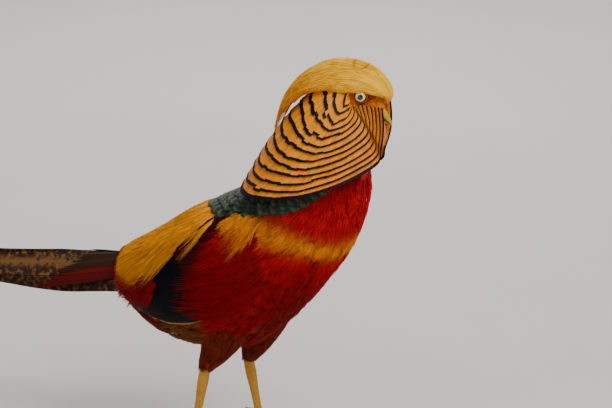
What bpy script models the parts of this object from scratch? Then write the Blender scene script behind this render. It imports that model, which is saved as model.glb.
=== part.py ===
"""A golden pheasant cock at life size, in a slow walking stance, one closed solid for each part of the bird.

Sizes are in millimetres in the code and are turned into metres as each mesh is made. The bird faces +X and
its left side is +Y. While it is modelled, z = 0 is the floor and x = 0 lies between the feet; at the end
everything is moved so that the origin is the bottom centre of the whole bird's box.
"""

import math

import bmesh
import bpy
import numpy as np

MM = 0.001
GAP = 0.3
BIRD = "golden_pheasant"
CUTTERS = "cutters"

# Trunk stations from the tail root to the top of the neck: back x, back z, belly x, belly z, half width.
TRUNK = (
    (-101, 163, -101, 141, 9),
    (-91, 170, -88, 122, 24),
    (-67, 185, -62, 105, 38),
    (-41, 203, -31, 98, 46),
    (-15, 219, 12, 102, 50),
    (7, 231, 46, 128, 51),
    (28, 243, 74, 161, 49),
    (46, 256, 96, 193, 43),
    (57, 270, 109, 229, 34),
    (64, 284, 112, 259, 27),
    (70, 297, 118, 282, 22),
)
WIDEST_DOWN = 0.46
TORSO_END = 8.3
NECK_END = 9.7

# The head: point between the eyes, turned to the left and bent down.
HEAD = np.array([104.0, 6.5, 317.0])
HEAD_YAW = math.radians(17)
HEAD_PITCH = math.radians(-31)
# The skull's lobes, in its own bent frame: centre and radii along, across and up.
SKULL = (
    ((-9, 0, 2), (22, 14.6, 16)),
    ((7, 0, -4), (14, 9.8, 10)),
    ((11, 0, -5), (9, 6.2, 6.5)),
    ((-4, 0, -9), (16, 12.5, 12)),
)
EYE_OUT = 9.7
EYE_RADIUS = 6.0
LID_RADIUS = 5.0
LID_THICK = 1.1
LID_OUT = 4.0

# The bill, in the skull's bent frame: where its solids start inside the face, tip, half width, and depths.
BILL_ROOT = 12.0
BILL_TIP = 32.6
BILL_LOWER_TIP = 30.4
BILL_HALF = 4.9
CULMEN = (-1.4, -10.3)
MOUTH = (-7.4, -10.2)
CHIN = (-10.8, -11.2)
NOSTRIL = (18.5, 3.7, -4.2)
NOSTRIL_SIZE = (2.0, 1.1, 0.8)

# Crest stations from the forehead to the hanging tip: forward, up, half width, depth, in the head's level frame.
CREST = (
    (20, -9, 4, 4),
    (23.5, -2, 9, 9),
    (20.5, 8, 13, 15),
    (11, 18.2, 15.5, 21),
    (-1, 23.6, 17, 24),
    (-13, 25.2, 17.5, 25),
    (-25, 23.8, 17, 24),
    (-37, 18.4, 16, 20.5),
    (-47.5, 11, 14, 16.5),
    (-56, 0.5, 11.5, 12),
    (-62.5, -13, 8, 9),
    (-67.5, -34, 3, 3),
)
CREST_WRAP = math.radians(80)

# Cape fan on one side, from the front edge round to the back: root and rim, each in the head's or the body's
# frame, and how far the fan bulges between them.
CAPE = (
    (("head", 7, 12, -4), ("head", 18.5, 17, -7), 1.0),
    (("head", 6, 13, -8), ("head", 20, 19, -22), 2.0),
    (("head", 4, 14, -11), ("head", 17.5, 22, -37), 3.0),
    (("head", 1, 14.5, -12), ("head", 12.5, 22, -49), 4.0),
    (("head", -2, 15, -11), ("body", 103, 37, 258), 5.0),
    (("head", -6, 15.5, -7), ("body", 76, 50, 249), 6.5),
    (("head", -12, 15.5, 0), ("body", 44, 51, 241), 6.5),
    (("head", -18, 14, 4), ("body", 22, 37, 236.5), 6.5),
    (("head", -22, 9, 7), ("body", 12.5, 18, 235), 6.5),
    (("head", -24, 0, 8), ("body", 9, 0, 235), 6.5),
)
THROAT = ((3, 0, -15), (8, 0, -51))
BELL_ROWS = (2.8, 15.2)
BELL_END = 0.6
BELL_SUNK = 0.8
CAPE_MIDDLE = np.array([88.0, 2.0, 0.0])

# Vanes: thickness at the shaft, and how much of its share of the width each one fills.
VANE = 0.75
FILL = 0.46
TIP_CROWDING = 1.5

# Tiers of vanes, each: how many, where the roots and the tips lie along the form, lift of root and tip.
CAPE_TIERS = (
    (10, 0.05, 0.38, -1.3, 1.1),
    (10, 0.17, 0.54, -1.5, 1.1),
    (11, 0.31, 0.7, -1.9, 1.1),
    (12, 0.45, 0.85, -1.9, 1.1),
    (13, 0.56, 1.0, -1.9, 1.1),
)
CREST_TIERS = ((4, 0.7, 4.8), (5, 2.1, 6.5), (5, 3.6, 8.2), (5, 5.1, 9.8), (3, 6.4, 11.0))
CREST_FILL = (0.46, 0.46, 0.46, 0.48, 0.52)
CREST_ROOTED = 2.2
CREST_CORE = (-1.2, -4.0)
CREST_CORE_SPAN = (0.9, 3.2, 7.6)
# Lower edge of the green mantle on the back, by angle from the spine in degrees.
MANTLE_ANGLES = (0, 25, 48, 68, 84, 102)
MANTLE_EDGE = (3.75, 3.9, 4.4, 5.2, 6.2, 7.2)
MANTLE_TIERS = ((9, 0.85, 2.1), (10, 0.0, 1.4))
MANTLE_LIFT = (-0.8, 2.2)
# Hackles of the back: how many, station of roots and of tips, outermost angle of both, lift over back and wing.
RUMP_TIERS = (
    (7, 4.7, 3.2, 40, 56, 2.4, 7.0),
    (8, 3.9, 2.35, 42, 64, 2.4, 7.5),
    (7, 3.0, 1.55, 45, 72, 2.4, 7.4),
    (8, 2.2, 0.85, 50, 82, 2.0, 7.0),
    (8, 1.45, 0.2, 56, 92, 1.3, 5.2),
)
# Tiers of the folded wing: how many, roots from and to, tips from and to (station and degrees), lifts, fullness.
WING_TIERS = (
    (4, (4.0, 98), (4.4, 111), (0.95, 97), (2.3, 112), (1.8, 2.6), 4),
    (6, (3.5, 58), (4.9, 106), (1.0, 68), (2.8, 112), (1.2, 3.4), 4),
    (6, (4.0, 58), (5.6, 102), (2.5, 57), (4.1, 108), (1.3, 4.1), 5),
    (5, (4.4, 60), (6.2, 98), (3.3, 56), (5.1, 104), (1.2, 4.4), 5),
    (4, (4.6, 62), (6.25, 92), (4.0, 57), (5.8, 98), (0.9, 4.0), 5),
)
WING_FRONT = (4.6, 6.35)
WING_REAR = 2.2
WING_TILT = 0.7
WING_FILL = 0.62

TAIL_ROOT = np.array([-100.9, 0.0, 161.0])
TAIL_LENGTH = 660
TAIL_STRAIGHT = 60
TAIL_BEND = 320
TAIL_PITCH = (math.radians(-9), math.radians(10))
TAIL_YAW = (0.0, math.radians(27))
TAIL_SLOPE = math.radians(52)
TAIL_RIDGE = 7.0
TAIL_DEPTH = 13.5
# The tail's stub, which holds the feathers: distance along it, how far its top lies below the roof, and width.
TAIL_CORE = (
    (0.45, -1.9, 0.85),
    (9, -1.9, 1.0),
    (14, -0.4, 1.0),
    (20, 3.0, 1.0),
    (27, 7.5, 0.95),
    (34, 12.0, 0.8),
)
# Lengths of the tail feathers on one side, from the central one outwards.
RECTRICES = (650, 480, 380, 310, 255, 210, 175, 150, 130)
RECTRIX_HALF = 11.5
RECTRIX_STEP = 1.15
RECTRIX_INNER = (0.5, 15.0)
COVERTS = 5

# Each leg: where the thigh leaves the body, the ankle, and the joint above the toes (x, y, z).
LEGS = {
    "right": ((8, -21, 136), (-17, -24, 82), (-31, -24, 8.5)),
    "left": ((18, 20, 136), (0, 20, 78), (14, 20, 8.5)),
}
SIDES = {"right": -1, "left": 1}
THIGH_RADII = (24, 22, 19.5, 16.5, 13, 9.5, 5.5)
THIGH_FLAT = 0.75
THIGH_BOW = 3
TARSUS_RADII = (4.2, 4.4, 3.6, 3.2, 3.2, 3.6, 4.2)
SPUR_AT = 0.62
SPUR_LENGTH = 8

# Toes: angle towards the body's middle, length, radius and claw length.
TOES = {
    "middle": (math.radians(2), 45, 3.3, 9.5),
    "inner": (math.radians(38), 32, 3.0, 8.5),
    "outer": (math.radians(-35), 36, 3.0, 8.5),
    "hind": (math.radians(172), 14, 2.6, 6.5),
}
TOE_SUNK = 0.35

COLOURS = {
    "gold": ((0.95, 0.52, 0.02), 0.45),
    "orange": ((0.93, 0.33, 0.02), 0.45),
    "scarlet": ((0.55, 0.01, 0.01), 0.5),
    "maroon": ((0.16, 0.01, 0.01), 0.5),
    "buff": ((0.75, 0.38, 0.16), 0.6),
    "tail_brown": ((0.16, 0.07, 0.02), 0.55),
    "horn": ((0.72, 0.5, 0.08), 0.35),
    "leg": ((0.78, 0.48, 0.05), 0.4),
    "claw": ((0.3, 0.2, 0.08), 0.35),
    "eye": ((0.85, 0.8, 0.35), 0.08),
}


def clear_scene():
    """Empties the scene and makes a collection for the bird and one for what cuts it."""
    for item in list(bpy.data.objects):
        bpy.data.objects.remove(item)
    for name in (BIRD, CUTTERS):
        made = bpy.data.collections.get(name) or bpy.data.collections.new(name)
        if made.name not in bpy.context.scene.collection.children:
            bpy.context.scene.collection.children.link(made)


def material(name):
    """A Principled material in one of the bird's colours."""
    found = bpy.data.materials.get(name)
    if found:
        return found
    colour, roughness = COLOURS[name]
    made = bpy.data.materials.new(name)
    made.use_nodes = True
    shader = made.node_tree.nodes["Principled BSDF"]
    shader.inputs["Base Color"].default_value = (*colour, 1)
    shader.inputs["Roughness"].default_value = roughness
    shader.inputs["Metallic"].default_value = 0
    return made


def spline(table, at):
    """Catmull-Rom through the rows of a table; at counts rows from 0."""
    rows = np.asarray(table, float)
    at = np.clip(np.asarray(at, float), 0, len(rows) - 1)
    low = np.minimum(at.astype(int), len(rows) - 2)
    f = (at - low)[..., None]
    p0, p1 = rows[np.maximum(low - 1, 0)], rows[low]
    p2, p3 = rows[low + 1], rows[np.minimum(low + 2, len(rows) - 1)]
    return 0.5 * (
        2 * p1 + (p2 - p0) * f + (2 * p0 - 5 * p1 + 4 * p2 - p3) * f**2 + (3 * p1 - p0 - 3 * p2 + p3) * f**3
    )


def unit(vectors):
    return vectors / np.maximum(np.linalg.norm(vectors, axis=-1, keepdims=True), 1e-9)


def ease(x):
    """Smooth step from 0 to 1."""
    x = np.clip(x, 0, 1)
    return x * x * (3 - 2 * x)


def lifted(chart, u, v, lift, du=0.02, dv=0.02):
    """Points of a chart raised along its outward normal, and that normal."""
    u, v, lift = np.broadcast_arrays(*(np.asarray(x, float) for x in (u, v, lift)))
    along = chart(u + du, v) - chart(u - du, v)
    across = chart(u, v + dv) - chart(u, v - dv)
    normal = unit(np.cross(along, across))
    return chart(u, v) + normal * lift[..., None], normal


def trunk(at, angle):
    """The trunk's surface: at counts stations, angle 0 is the back and positive turns to the left side."""
    row = spline(TRUNK, at)
    zero = np.zeros_like(row[..., 0])
    back = np.stack([row[..., 0], zero, row[..., 1]], -1)
    belly = np.stack([row[..., 2], zero, row[..., 3]], -1)
    centre = back + WIDEST_DOWN * (belly - back)
    depth = np.linalg.norm(belly - back, axis=-1)
    up = (back - belly) / depth[..., None]
    rise = np.where(np.cos(angle) > 0, WIDEST_DOWN, 1 - WIDEST_DOWN) * depth * np.cos(angle)
    out = row[..., 4] * np.sin(angle)
    return centre + up * rise[..., None] + np.stack([zero, out, zero], -1)


def head_level(points):
    """From the head's level frame (forward, left, up) to the body's."""
    points = np.asarray(points, float)
    c, s = math.cos(HEAD_YAW), math.sin(HEAD_YAW)
    turn = np.array([[c, s, 0], [-s, c, 0], [0, 0, 1]])
    return HEAD + points @ turn


def head_bent(points):
    """From the skull's own frame, bent down with the bill, to the body's."""
    points = np.asarray(points, float)
    c, s = math.cos(HEAD_PITCH), math.sin(HEAD_PITCH)
    turn = np.array([[c, 0, s], [0, 1, 0], [-s, 0, c]])
    return head_level(points @ turn)


def crest(at, across):
    """The crest's surface: at counts stations, across runs from -1 on the left to 1 on the right."""
    at = np.asarray(at, float)
    row = spline(CREST, at)
    step = unit((spline(CREST, at + 0.05) - spline(CREST, at - 0.05))[..., :2])
    inward = np.stack([-step[..., 1], step[..., 0]], -1)
    turn = np.asarray(across) * CREST_WRAP
    flat = row[..., :2] + inward * (row[..., 3] * (1 - np.cos(turn)))[..., None]
    return head_level(np.stack([flat[..., 0], -row[..., 2] * np.sin(turn), flat[..., 1]], -1))


def cape_table():
    """Root, rim and bulge of every fan row, from the left front edge over the back to the right front edge."""

    def place(entry, sign):
        frame, x, y, z = entry
        return head_level([x, sign * y, z]) if frame == "head" else np.array([x, sign * y, z])

    left = [np.concatenate([place(root, 1), place(rim, 1), [bulge]]) for root, rim, bulge in CAPE]
    right = [np.concatenate([place(root, -1), place(rim, -1), [bulge]]) for root, rim, bulge in CAPE[-2::-1]]
    return np.array(left + right)


CAPE_ROWS = cape_table()
CAPE_LAST = len(CAPE_ROWS) - 1


def cape(down, row):
    """The cape's surface: down is 0 at the root and 1 at the rim, row counts fan rows from the left front edge."""
    both = spline(CAPE_ROWS, row)
    root, rim, bulge = both[..., :3], both[..., 3:6], both[..., 6:]
    down = np.asarray(down, float)[..., None]
    outward = (root + rim) / 2 - CAPE_MIDDLE
    outward[..., 2] = 0
    return root * (1 - down) + rim * down + unit(outward) * bulge * 4 * down * (1 - down)


def tail_line(length):
    """Centre line of the tail: straight back and down, then sweeping up and to the left."""
    length = np.asarray(length, float)
    steps = np.linspace(0, TAIL_LENGTH + 20, 400)
    bend = ease((steps - TAIL_STRAIGHT) / TAIL_BEND)
    pitch = TAIL_PITCH[0] + (TAIL_PITCH[1] - TAIL_PITCH[0]) * bend
    yaw = TAIL_YAW[0] + (TAIL_YAW[1] - TAIL_YAW[0]) * bend
    heading = np.stack([-np.cos(pitch) * np.cos(yaw), np.cos(pitch) * np.sin(yaw), np.sin(pitch)], -1)
    run = np.concatenate([[np.zeros(3)], np.cumsum(heading[:-1] * np.diff(steps)[:, None], 0)])
    centre = np.stack([np.interp(length, steps, run[:, k]) for k in range(3)], -1) + TAIL_ROOT
    forward = unit(np.stack([np.interp(length, steps, heading[:, k]) for k in range(3)], -1))
    side = unit(np.cross(forward, [0, 0, 1]))
    return centre, side, np.cross(side, forward)


def tail_roof(length, across):
    """The top of the folded tail, a rounded ridge: distance along it, and along its slope to the right."""
    centre, side, up = tail_line(length)
    across = np.asarray(across, float)[..., None]
    fall = np.sqrt(across**2 + TAIL_RIDGE**2) - TAIL_RIDGE
    return centre - side * across * math.cos(TAIL_SLOPE) - up * fall * math.sin(TAIL_SLOPE)


def mesh_object(name, points, faces, colour):
    """A mesh object from points in millimetres, its faces turned outwards."""
    mesh = bpy.data.meshes.new(name)
    mesh.from_pydata((np.asarray(points) * MM).tolist(), [], faces)
    made = bpy.data.objects.new(name, mesh)
    bpy.data.collections[BIRD].objects.link(made)
    mesh.materials.append(material(colour))
    edit = bmesh.new()
    edit.from_mesh(mesh)
    bmesh.ops.recalc_face_normals(edit, faces=edit.faces)
    if edit.calc_volume(signed=True) < 0:
        bmesh.ops.reverse_faces(edit, faces=edit.faces)
    edit.to_mesh(mesh)
    edit.free()
    return made


def loft(name, rings, colour):
    """A closed solid through rings of equally many points, with a face across each end."""
    rings = np.asarray(rings, float)
    count, around = rings.shape[:2]
    faces = []
    for i in range(count - 1):
        for j in range(around):
            a, b = i * around + j, i * around + (j + 1) % around
            c, d = b + around, a + around
            faces += [(a, b, c), (a, c, d)]
    ends = [rings[0].mean(0), rings[-1].mean(0)]
    for j in range(around):
        k, last = (j + 1) % around, (count - 1) * around
        faces += [(count * around, k, j), (count * around + 1, last + j, last + k)]
    return mesh_object(name, np.concatenate([rings.reshape(-1, 3), ends]), faces, colour)


def slab(name, outer, inner, colour):
    """A closed solid between two grids of points that share their outline's order."""
    outer, inner = np.asarray(outer, float), np.asarray(inner, float)
    rows, columns = outer.shape[:2]
    total = rows * columns
    faces = []
    for i in range(rows - 1):
        for j in range(columns - 1):
            a, b = i * columns + j, i * columns + j + 1
            c, d = b + columns, a + columns
            faces += [(a, b, c), (a, c, d)]
            faces += [(total + a, total + c, total + b), (total + a, total + d, total + c)]
    rim = [j for j in range(columns)]
    rim += [i * columns + columns - 1 for i in range(1, rows)]
    rim += [(rows - 1) * columns + j for j in range(columns - 2, -1, -1)]
    rim += [i * columns for i in range(rows - 2, 0, -1)]
    for k, a in enumerate(rim):
        b = rim[(k + 1) % len(rim)]
        faces += [(a, b, total + b), (a, total + b, total + a)]
    points = np.concatenate([outer.reshape(-1, 3), inner.reshape(-1, 3)])
    return mesh_object(name, points, faces, colour)


def tube(name, centres, radii, colour, sides=12, flat=1.0):
    """A round solid along a line of centres, flattened sideways by flat."""
    centres, radii = np.asarray(centres, float), np.asarray(radii, float)
    heading = unit(np.gradient(centres, axis=0))
    guide = np.tile([0.0, 1.0, 0.0], (len(centres), 1))
    side = unit(guide - heading * (guide * heading).sum(-1, keepdims=True))
    up = np.cross(heading, side)
    turn = np.linspace(0, 2 * math.pi, sides, endpoint=False)
    rings = (
        centres[:, None]
        + side[:, None] * (radii[:, None, None] * flat * np.cos(turn)[None, :, None])
        + up[:, None] * (radii[:, None, None] * np.sin(turn)[None, :, None])
    )
    return loft(name, rings, colour)


def baked(item):
    """Applies an object's modifiers by taking its evaluated mesh."""
    graph = bpy.context.evaluated_depsgraph_get()
    graph.update()
    item.data = bpy.data.meshes.new_from_object(item.evaluated_get(graph))
    item.modifiers.clear()


def keep_largest(item):
    """Keeps only the largest closed surface of a mesh."""
    edit = bmesh.new()
    edit.from_mesh(item.data)
    left, shells = set(edit.verts), []
    while left:
        stack, shell = [left.pop()], set()
        while stack:
            vertex = stack.pop()
            shell.add(vertex)
            for edge in vertex.link_edges:
                other = edge.other_vert(vertex)
                if other in left:
                    left.discard(other)
                    stack.append(other)
        shells.append(shell)
    largest = max(shells, key=len)
    bmesh.ops.delete(edit, geom=[v for v in edit.verts if v not in largest], context="VERTS")
    edit.to_mesh(item.data)
    edit.free()


def placed(item, name):
    """Puts an object in one collection only."""
    for holder in list(item.users_collection):
        holder.objects.unlink(item)
    bpy.data.collections[name].objects.link(item)


def combine(item, pieces, operation="UNION"):
    """One Boolean of an object with a list of closed mesh objects, which are then removed."""
    for piece in pieces:
        placed(piece, CUTTERS)
    step = item.modifiers.new("boolean", "BOOLEAN")
    step.operand_type = "COLLECTION"
    step.collection = bpy.data.collections[CUTTERS]
    step.operation = operation
    step.solver = "MANIFOLD"
    baked(item)
    for piece in pieces:
        bpy.data.objects.remove(piece)
    keep_largest(item)
    return item


def grown(item, by):
    """A copy of a mesh object with every point moved out along its normal, to cut its neighbour clear of it."""
    copy = item.copy()
    copy.data = item.data.copy()
    placed(copy, CUTTERS)
    normals = np.array([v.normal for v in copy.data.vertices])
    points = np.array([v.co for v in copy.data.vertices]) + normals * by * MM
    copy.data.vertices.foreach_set("co", points.ravel())
    copy.data.update()
    return copy


def clear_of(item, *neighbours):
    """Cuts a solid clear of its neighbours by the gap."""
    return combine(item, [grown(other, GAP * 1.3) for other in neighbours], "DIFFERENCE")


def vane(chart, root, tip, half, lift, blunt=2.0, tilt=0.0, rings=3, curl=1.0, step=(0.02, 0.02), swell=0.35, keel=0):
    """A feather or lock on a chart, from root to tip, lens-shaped across, as a closed mesh object.

    half is half its width in the chart's second direction, reached at swell of its length. tilt lowers its first
    edge and raises its second, curl below 1 makes it rise early, and a keel of 1 or -1 keeps one edge straight.
    """
    s = 1 - (1 - np.linspace(0, 1, rings + 1)[:-1]) ** TIP_CROWDING
    u = root[0] + (tip[0] - root[0]) * s
    v = root[1] + (tip[1] - root[1]) * s
    wide = half * (0.62 + 0.38 * ease(s / swell)) * (1 - s**blunt) ** 0.6
    v = v + keel * (wide - half)
    high = lift[0] + (lift[1] - lift[0]) * s**curl
    first = lifted(chart, u, v - wide, high - tilt, *step)[0]
    second = lifted(chart, u, v + wide, high + tilt, *step)[0]
    top = lifted(chart, u, v, high + VANE * 0.6, *step)[0]
    under = lifted(chart, u, v, high - VANE * 0.4, *step)[0]
    point = lifted(chart, tip[0], tip[1] - keel * half, lift[1], *step)[0]
    points = np.concatenate([np.stack([first, top, second, under], 1).reshape(-1, 3), point[None]])
    end = len(points) - 1
    faces = [(0, 1, 2), (0, 2, 3)]
    for i in range(0, end - 4, 4):
        a, b, c, d = i, i + 1, i + 2, i + 3
        e, f, g, h = i + 4, i + 5, i + 6, i + 7
        faces += [(a, f, b), (a, e, f), (b, g, c), (b, f, g), (c, g, d), (d, g, h), (a, d, h), (a, h, e)]
    faces += [(end - 4, end - 3, end), (end - 3, end - 2, end), (end - 2, end - 1, end), (end - 1, end - 4, end)]
    return mesh_object("vane", points, faces, "gold")


def spread(count, low, high, stagger=0.0):
    """Places of count vanes side by side between two limits, and their spacing."""
    pitch = (high - low) / count
    return low + pitch * (np.arange(count) + 0.5 + stagger), pitch


def ring_angles(count):
    return np.linspace(0, 2 * math.pi, count, endpoint=False)


def trunk_solid(name, start, end, stations, around, lift, colour):
    """A length of the trunk between two stations, raised or sunk by lift."""
    at, angle = np.meshgrid(np.linspace(start, end, stations), ring_angles(around), indexing="ij")
    return loft(name, lifted(trunk, at, angle, lift)[0], colour)


def cape_bell(name, colour):
    """The solid bell under the cape's upper part, closed across the throat and underneath."""
    rows = np.linspace(*BELL_ROWS, 21)
    across = np.linspace(0, 1, 7)[1:-1]
    rings = []
    for down in np.linspace(0, BELL_END, 5):
        side = lifted(cape, down, rows, -BELL_SUNK)[0]
        middle = head_level(np.array(THROAT[0]) * (1 - down) + np.array(THROAT[1]) * down)
        w = across[:, None]
        bowl = side[-1] * (1 - w) ** 2 + middle * 2 * w * (1 - w) + side[0] * w**2
        bowl += (middle - (side[0] + side[-1]) / 2) * 2 * w * (1 - w)
        rings.append(np.concatenate([side, bowl]))
    turn = math.pi - np.linspace(0, 2 * math.pi, len(rings[0]) + 1)[:-1] - math.pi * len(across) / len(rings[0])
    rings.append(lifted(trunk, np.full(len(turn), TORSO_END + 0.4), turn, -6)[0])
    return loft(name, rings, colour)


def make_neck():
    """The lower neck, the bell under the cape and the cape's barred feathers in tiers."""
    core = trunk_solid("neck", TORSO_END + 0.02, NECK_END, 4, 24, 0, "orange")
    pieces = [cape_bell("bell", "orange")]
    for tier, (count, root, tip, low, high) in enumerate(CAPE_TIERS):
        places, pitch = spread(count, 0, CAPE_LAST)
        for row in places:
            ends = (root, row), (tip, row)
            pieces.append(vane(cape, *ends, pitch * FILL, (low, high), blunt=5))
    return combine(core, pieces)


def lobed_ball(name, lobes, middle, colour):
    """A smooth join of ellipsoids that all hold the middle point, in the skull's bent frame."""
    ball = bmesh.new()
    bmesh.ops.create_uvsphere(ball, u_segments=24, v_segments=14, radius=1)
    ways = np.array([v.co for v in ball.verts])
    faces = [tuple(v.index for v in f.verts) for f in ball.faces]
    ball.free()
    total = np.zeros(len(ways))
    for centre, radii in lobes:
        offset = (middle - np.array(centre)) / radii
        way = ways / radii
        a = (way**2).sum(-1)
        b = (way * offset).sum(-1)
        inside = b * b - a * ((offset**2).sum() - 1)
        reach = (-b + np.sqrt(np.maximum(inside, 0))) / a
        total += np.where(inside > 0, np.maximum(reach, 0), 0) ** 10
    return mesh_object(name, head_bent(middle + ways * (total**0.1)[:, None]), faces, colour)


def eye_ball(name, sign, radius, segments=14):
    centre = head_bent([0, sign * EYE_OUT, 0])
    bpy.ops.mesh.primitive_uv_sphere_add(
        segments=segments, ring_count=segments * 2 // 3, radius=radius * MM, location=centre * MM
    )
    made = bpy.context.object
    made.name = name
    made.data.materials.append(material("eye"))
    placed(made, BIRD)
    return made


def eye_lid(sign):
    """The ring of lid round one eye."""
    centre = head_bent([0, sign * (EYE_OUT + LID_OUT), 0])
    turn, tube_turn = np.meshgrid(ring_angles(14), ring_angles(6), indexing="ij")
    out = LID_RADIUS + LID_THICK * np.cos(tube_turn)
    points = np.stack([out * np.cos(turn), LID_THICK * np.sin(tube_turn), out * np.sin(turn) * 0.94], -1)
    around, sides = turn.shape
    faces = []
    for i in range(around):
        for j in range(sides):
            k, m = (i + 1) % around, (j + 1) % sides
            faces += [(i * sides + j, i * sides + m, k * sides + m), (i * sides + j, k * sides + m, k * sides + j)]
    flat = points.reshape(-1, 3) + np.array([0, sign * (EYE_OUT + LID_OUT), 0])
    return mesh_object("lid", head_bent(flat), faces, "buff")


def bill_half(name, tip, top, bottom):
    """One half of the bill as a loft of half-round sections from inside the face to its tip."""
    rings = []
    for s in np.linspace(0, 1, 9):
        x = BILL_ROOT + (tip - BILL_ROOT) * s
        high, low = top(s), bottom(s)
        half = BILL_HALF * (1 - s**1.6) ** 0.75 + 0.35
        ring = []
        for turn in np.linspace(0, math.pi, 9):
            ring.append((x, half * math.cos(turn), low + (high - low) * math.sin(turn) ** 0.8))
        for side in (-0.6, 0.0, 0.6):
            ring.append((x, half * side, low))
        rings.append(head_bent(ring))
    return loft(name, rings, "horn")


def mouth_line(s):
    return MOUTH[0] + (MOUTH[1] - MOUTH[0]) * (0.35 * s + 0.65 * s**3)


def make_bill():
    """Both halves of the bill, with the line of the mouth between them and the nostrils cut in."""
    share = (BILL_LOWER_TIP - BILL_ROOT) / (BILL_TIP - BILL_ROOT)
    upper = bill_half(
        "bill_upper",
        BILL_TIP,
        lambda s: CULMEN[0] + (CULMEN[1] + 0.7 - CULMEN[0]) * s**2.6,
        lambda s: mouth_line(s) - 1.1 * ease((s - 0.9) / 0.1),
    )
    lower = bill_half(
        "bill_lower",
        BILL_LOWER_TIP,
        lambda s: CHIN[0] + (CHIN[1] - CHIN[0]) * s**2 - 0.9 * (1 - s),
        lambda s: mouth_line(s * share) - 0.45,
    )
    for sign in (-1, 1):
        x, y, z = NOSTRIL
        nostril = eye_ball("nostril", sign, 1, 8)
        nostril.scale = NOSTRIL_SIZE
        nostril.rotation_euler = (0, -HEAD_PITCH, HEAD_YAW)
        nostril.location = head_bent([x, sign * y, z]) * MM
        combine(upper, [nostril], "DIFFERENCE")
    return [upper, lower]


def crest_core(at):
    """How deep the crest's core lies under its outline."""
    start, full, _ = CREST_CORE_SPAN
    return CREST_CORE[0] + (CREST_CORE[1] - CREST_CORE[0]) * ease((at - start) / (full - start))


def make_crest():
    """The crest's core and its long silky locks, rooted from the forehead to the crown."""
    start, _, end = CREST_CORE_SPAN
    at, across = np.meshgrid(np.linspace(start, end, 8), np.linspace(-1, 1, 7), indexing="ij")
    dome = lifted(crest, at, across, crest_core(at))[0]
    base = (dome[:, :1] + dome[:, -1:]) / 2 * 0.8 + dome * 0.2
    pieces = [slab("dome", dome, base, "gold")]
    for (count, root, tip), fill in zip(CREST_TIERS, CREST_FILL):
        places, pitch = spread(count, -0.98, 0.98)
        for place in places:
            ends = (root, place), (tip, place * 0.9)
            lift = (crest_core(root) - CREST_ROOTED, 0.2)
            pieces.append(vane(crest, *ends, pitch * fill, lift, blunt=3, rings=3, curl=0.6))
    return pieces


def make_head(bill, eyes):
    head = lobed_ball("head", SKULL, np.array([-4.0, 0.0, -3.0]), "gold")
    combine(head, [eye_lid(-1), eye_lid(1)] + make_crest())
    bell = cape_bell("bell", "orange")
    stem = trunk_solid("stem", TORSO_END, NECK_END, 6, 26, 0, "orange")
    clear_of(head, bell, stem, *bill, *eyes)
    bpy.data.objects.remove(bell)
    bpy.data.objects.remove(stem)
    return head


def make_torso():
    """The trunk with the green mantle's scale-like feathers and the golden hackles of the back."""
    torso = trunk_solid("torso", 0, TORSO_END, 15, 24, 0, "scarlet")
    pieces = []
    for count, above, root in MANTLE_TIERS:
        places, pitch = spread(count, -MANTLE_ANGLES[-1], MANTLE_ANGLES[-1])
        for place in places:
            edge = np.interp(abs(place), MANTLE_ANGLES, MANTLE_EDGE)
            angle = math.radians(place)
            ends = (min(edge + root, TORSO_END - 0.1), angle), (edge + above, angle)
            pieces.append(vane(trunk, *ends, math.radians(pitch) * FILL, MANTLE_LIFT, blunt=5))
    for count, root, tip, angle_root, angle_tip, over_back, over_wing in RUMP_TIERS:
        places, pitch = spread(count, -1, 1)
        for place in places:
            ends = (root, math.radians(place * angle_root)), (tip, math.radians(place * angle_tip))
            high = over_back + (over_wing - over_back) * ease((abs(place) - 0.45) / 0.3)
            width = math.radians(pitch * angle_root) * FILL
            pieces.append(vane(trunk, *ends, width, (-VANE, high), blunt=1.8, curl=0.8))
    return combine(torso, pieces)


def make_wing(name, sign):
    """A folded wing: a thin core on the trunk's side, flight feathers and three tiers of coverts."""
    p, q = np.meshgrid(np.linspace(0, 1, 9), np.linspace(0, 1, 5), indexing="ij")
    front = WING_FRONT[0] + (WING_FRONT[1] - WING_FRONT[0]) * q
    at = front + (WING_REAR - front) * p
    upper = np.radians(np.interp(p, [0, 0.5, 1], [61, 57, 64]))
    lower = np.radians(np.interp(p, [0, 0.3, 0.7, 1], [94, 106, 112, 112]))
    angle = sign * (upper + (lower - upper) * q)
    full = (1 - (2 * q - 1) ** 4) * np.sqrt(np.clip(4 * p * (1.04 - p), 0, 1))
    outer = lifted(trunk, at, angle, 1.5 + 1.4 * full)[0]
    inner = lifted(trunk, at, angle, 0.9)[0]
    wing = slab(name, outer, inner, "maroon")
    pieces = []
    for count, root_a, root_b, tip_a, tip_b, lift, blunt in WING_TIERS:
        for k in range(count):
            share = k / (count - 1)
            root = [a + (b - a) * share for a, b in zip(root_a, root_b)]
            tip = [a + (b - a) * share for a, b in zip(tip_a, tip_b)]
            pitch = math.radians(max(abs(tip_b[1] - tip_a[1]), abs(root_b[1] - root_a[1])) / (count - 1))
            ends = (root[0], sign * math.radians(root[1])), (tip[0], sign * math.radians(tip[1]))
            pieces.append(vane(trunk, *ends, pitch * WING_FILL, lift, blunt, sign * WING_TILT))
    return combine(wing, pieces)


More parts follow.
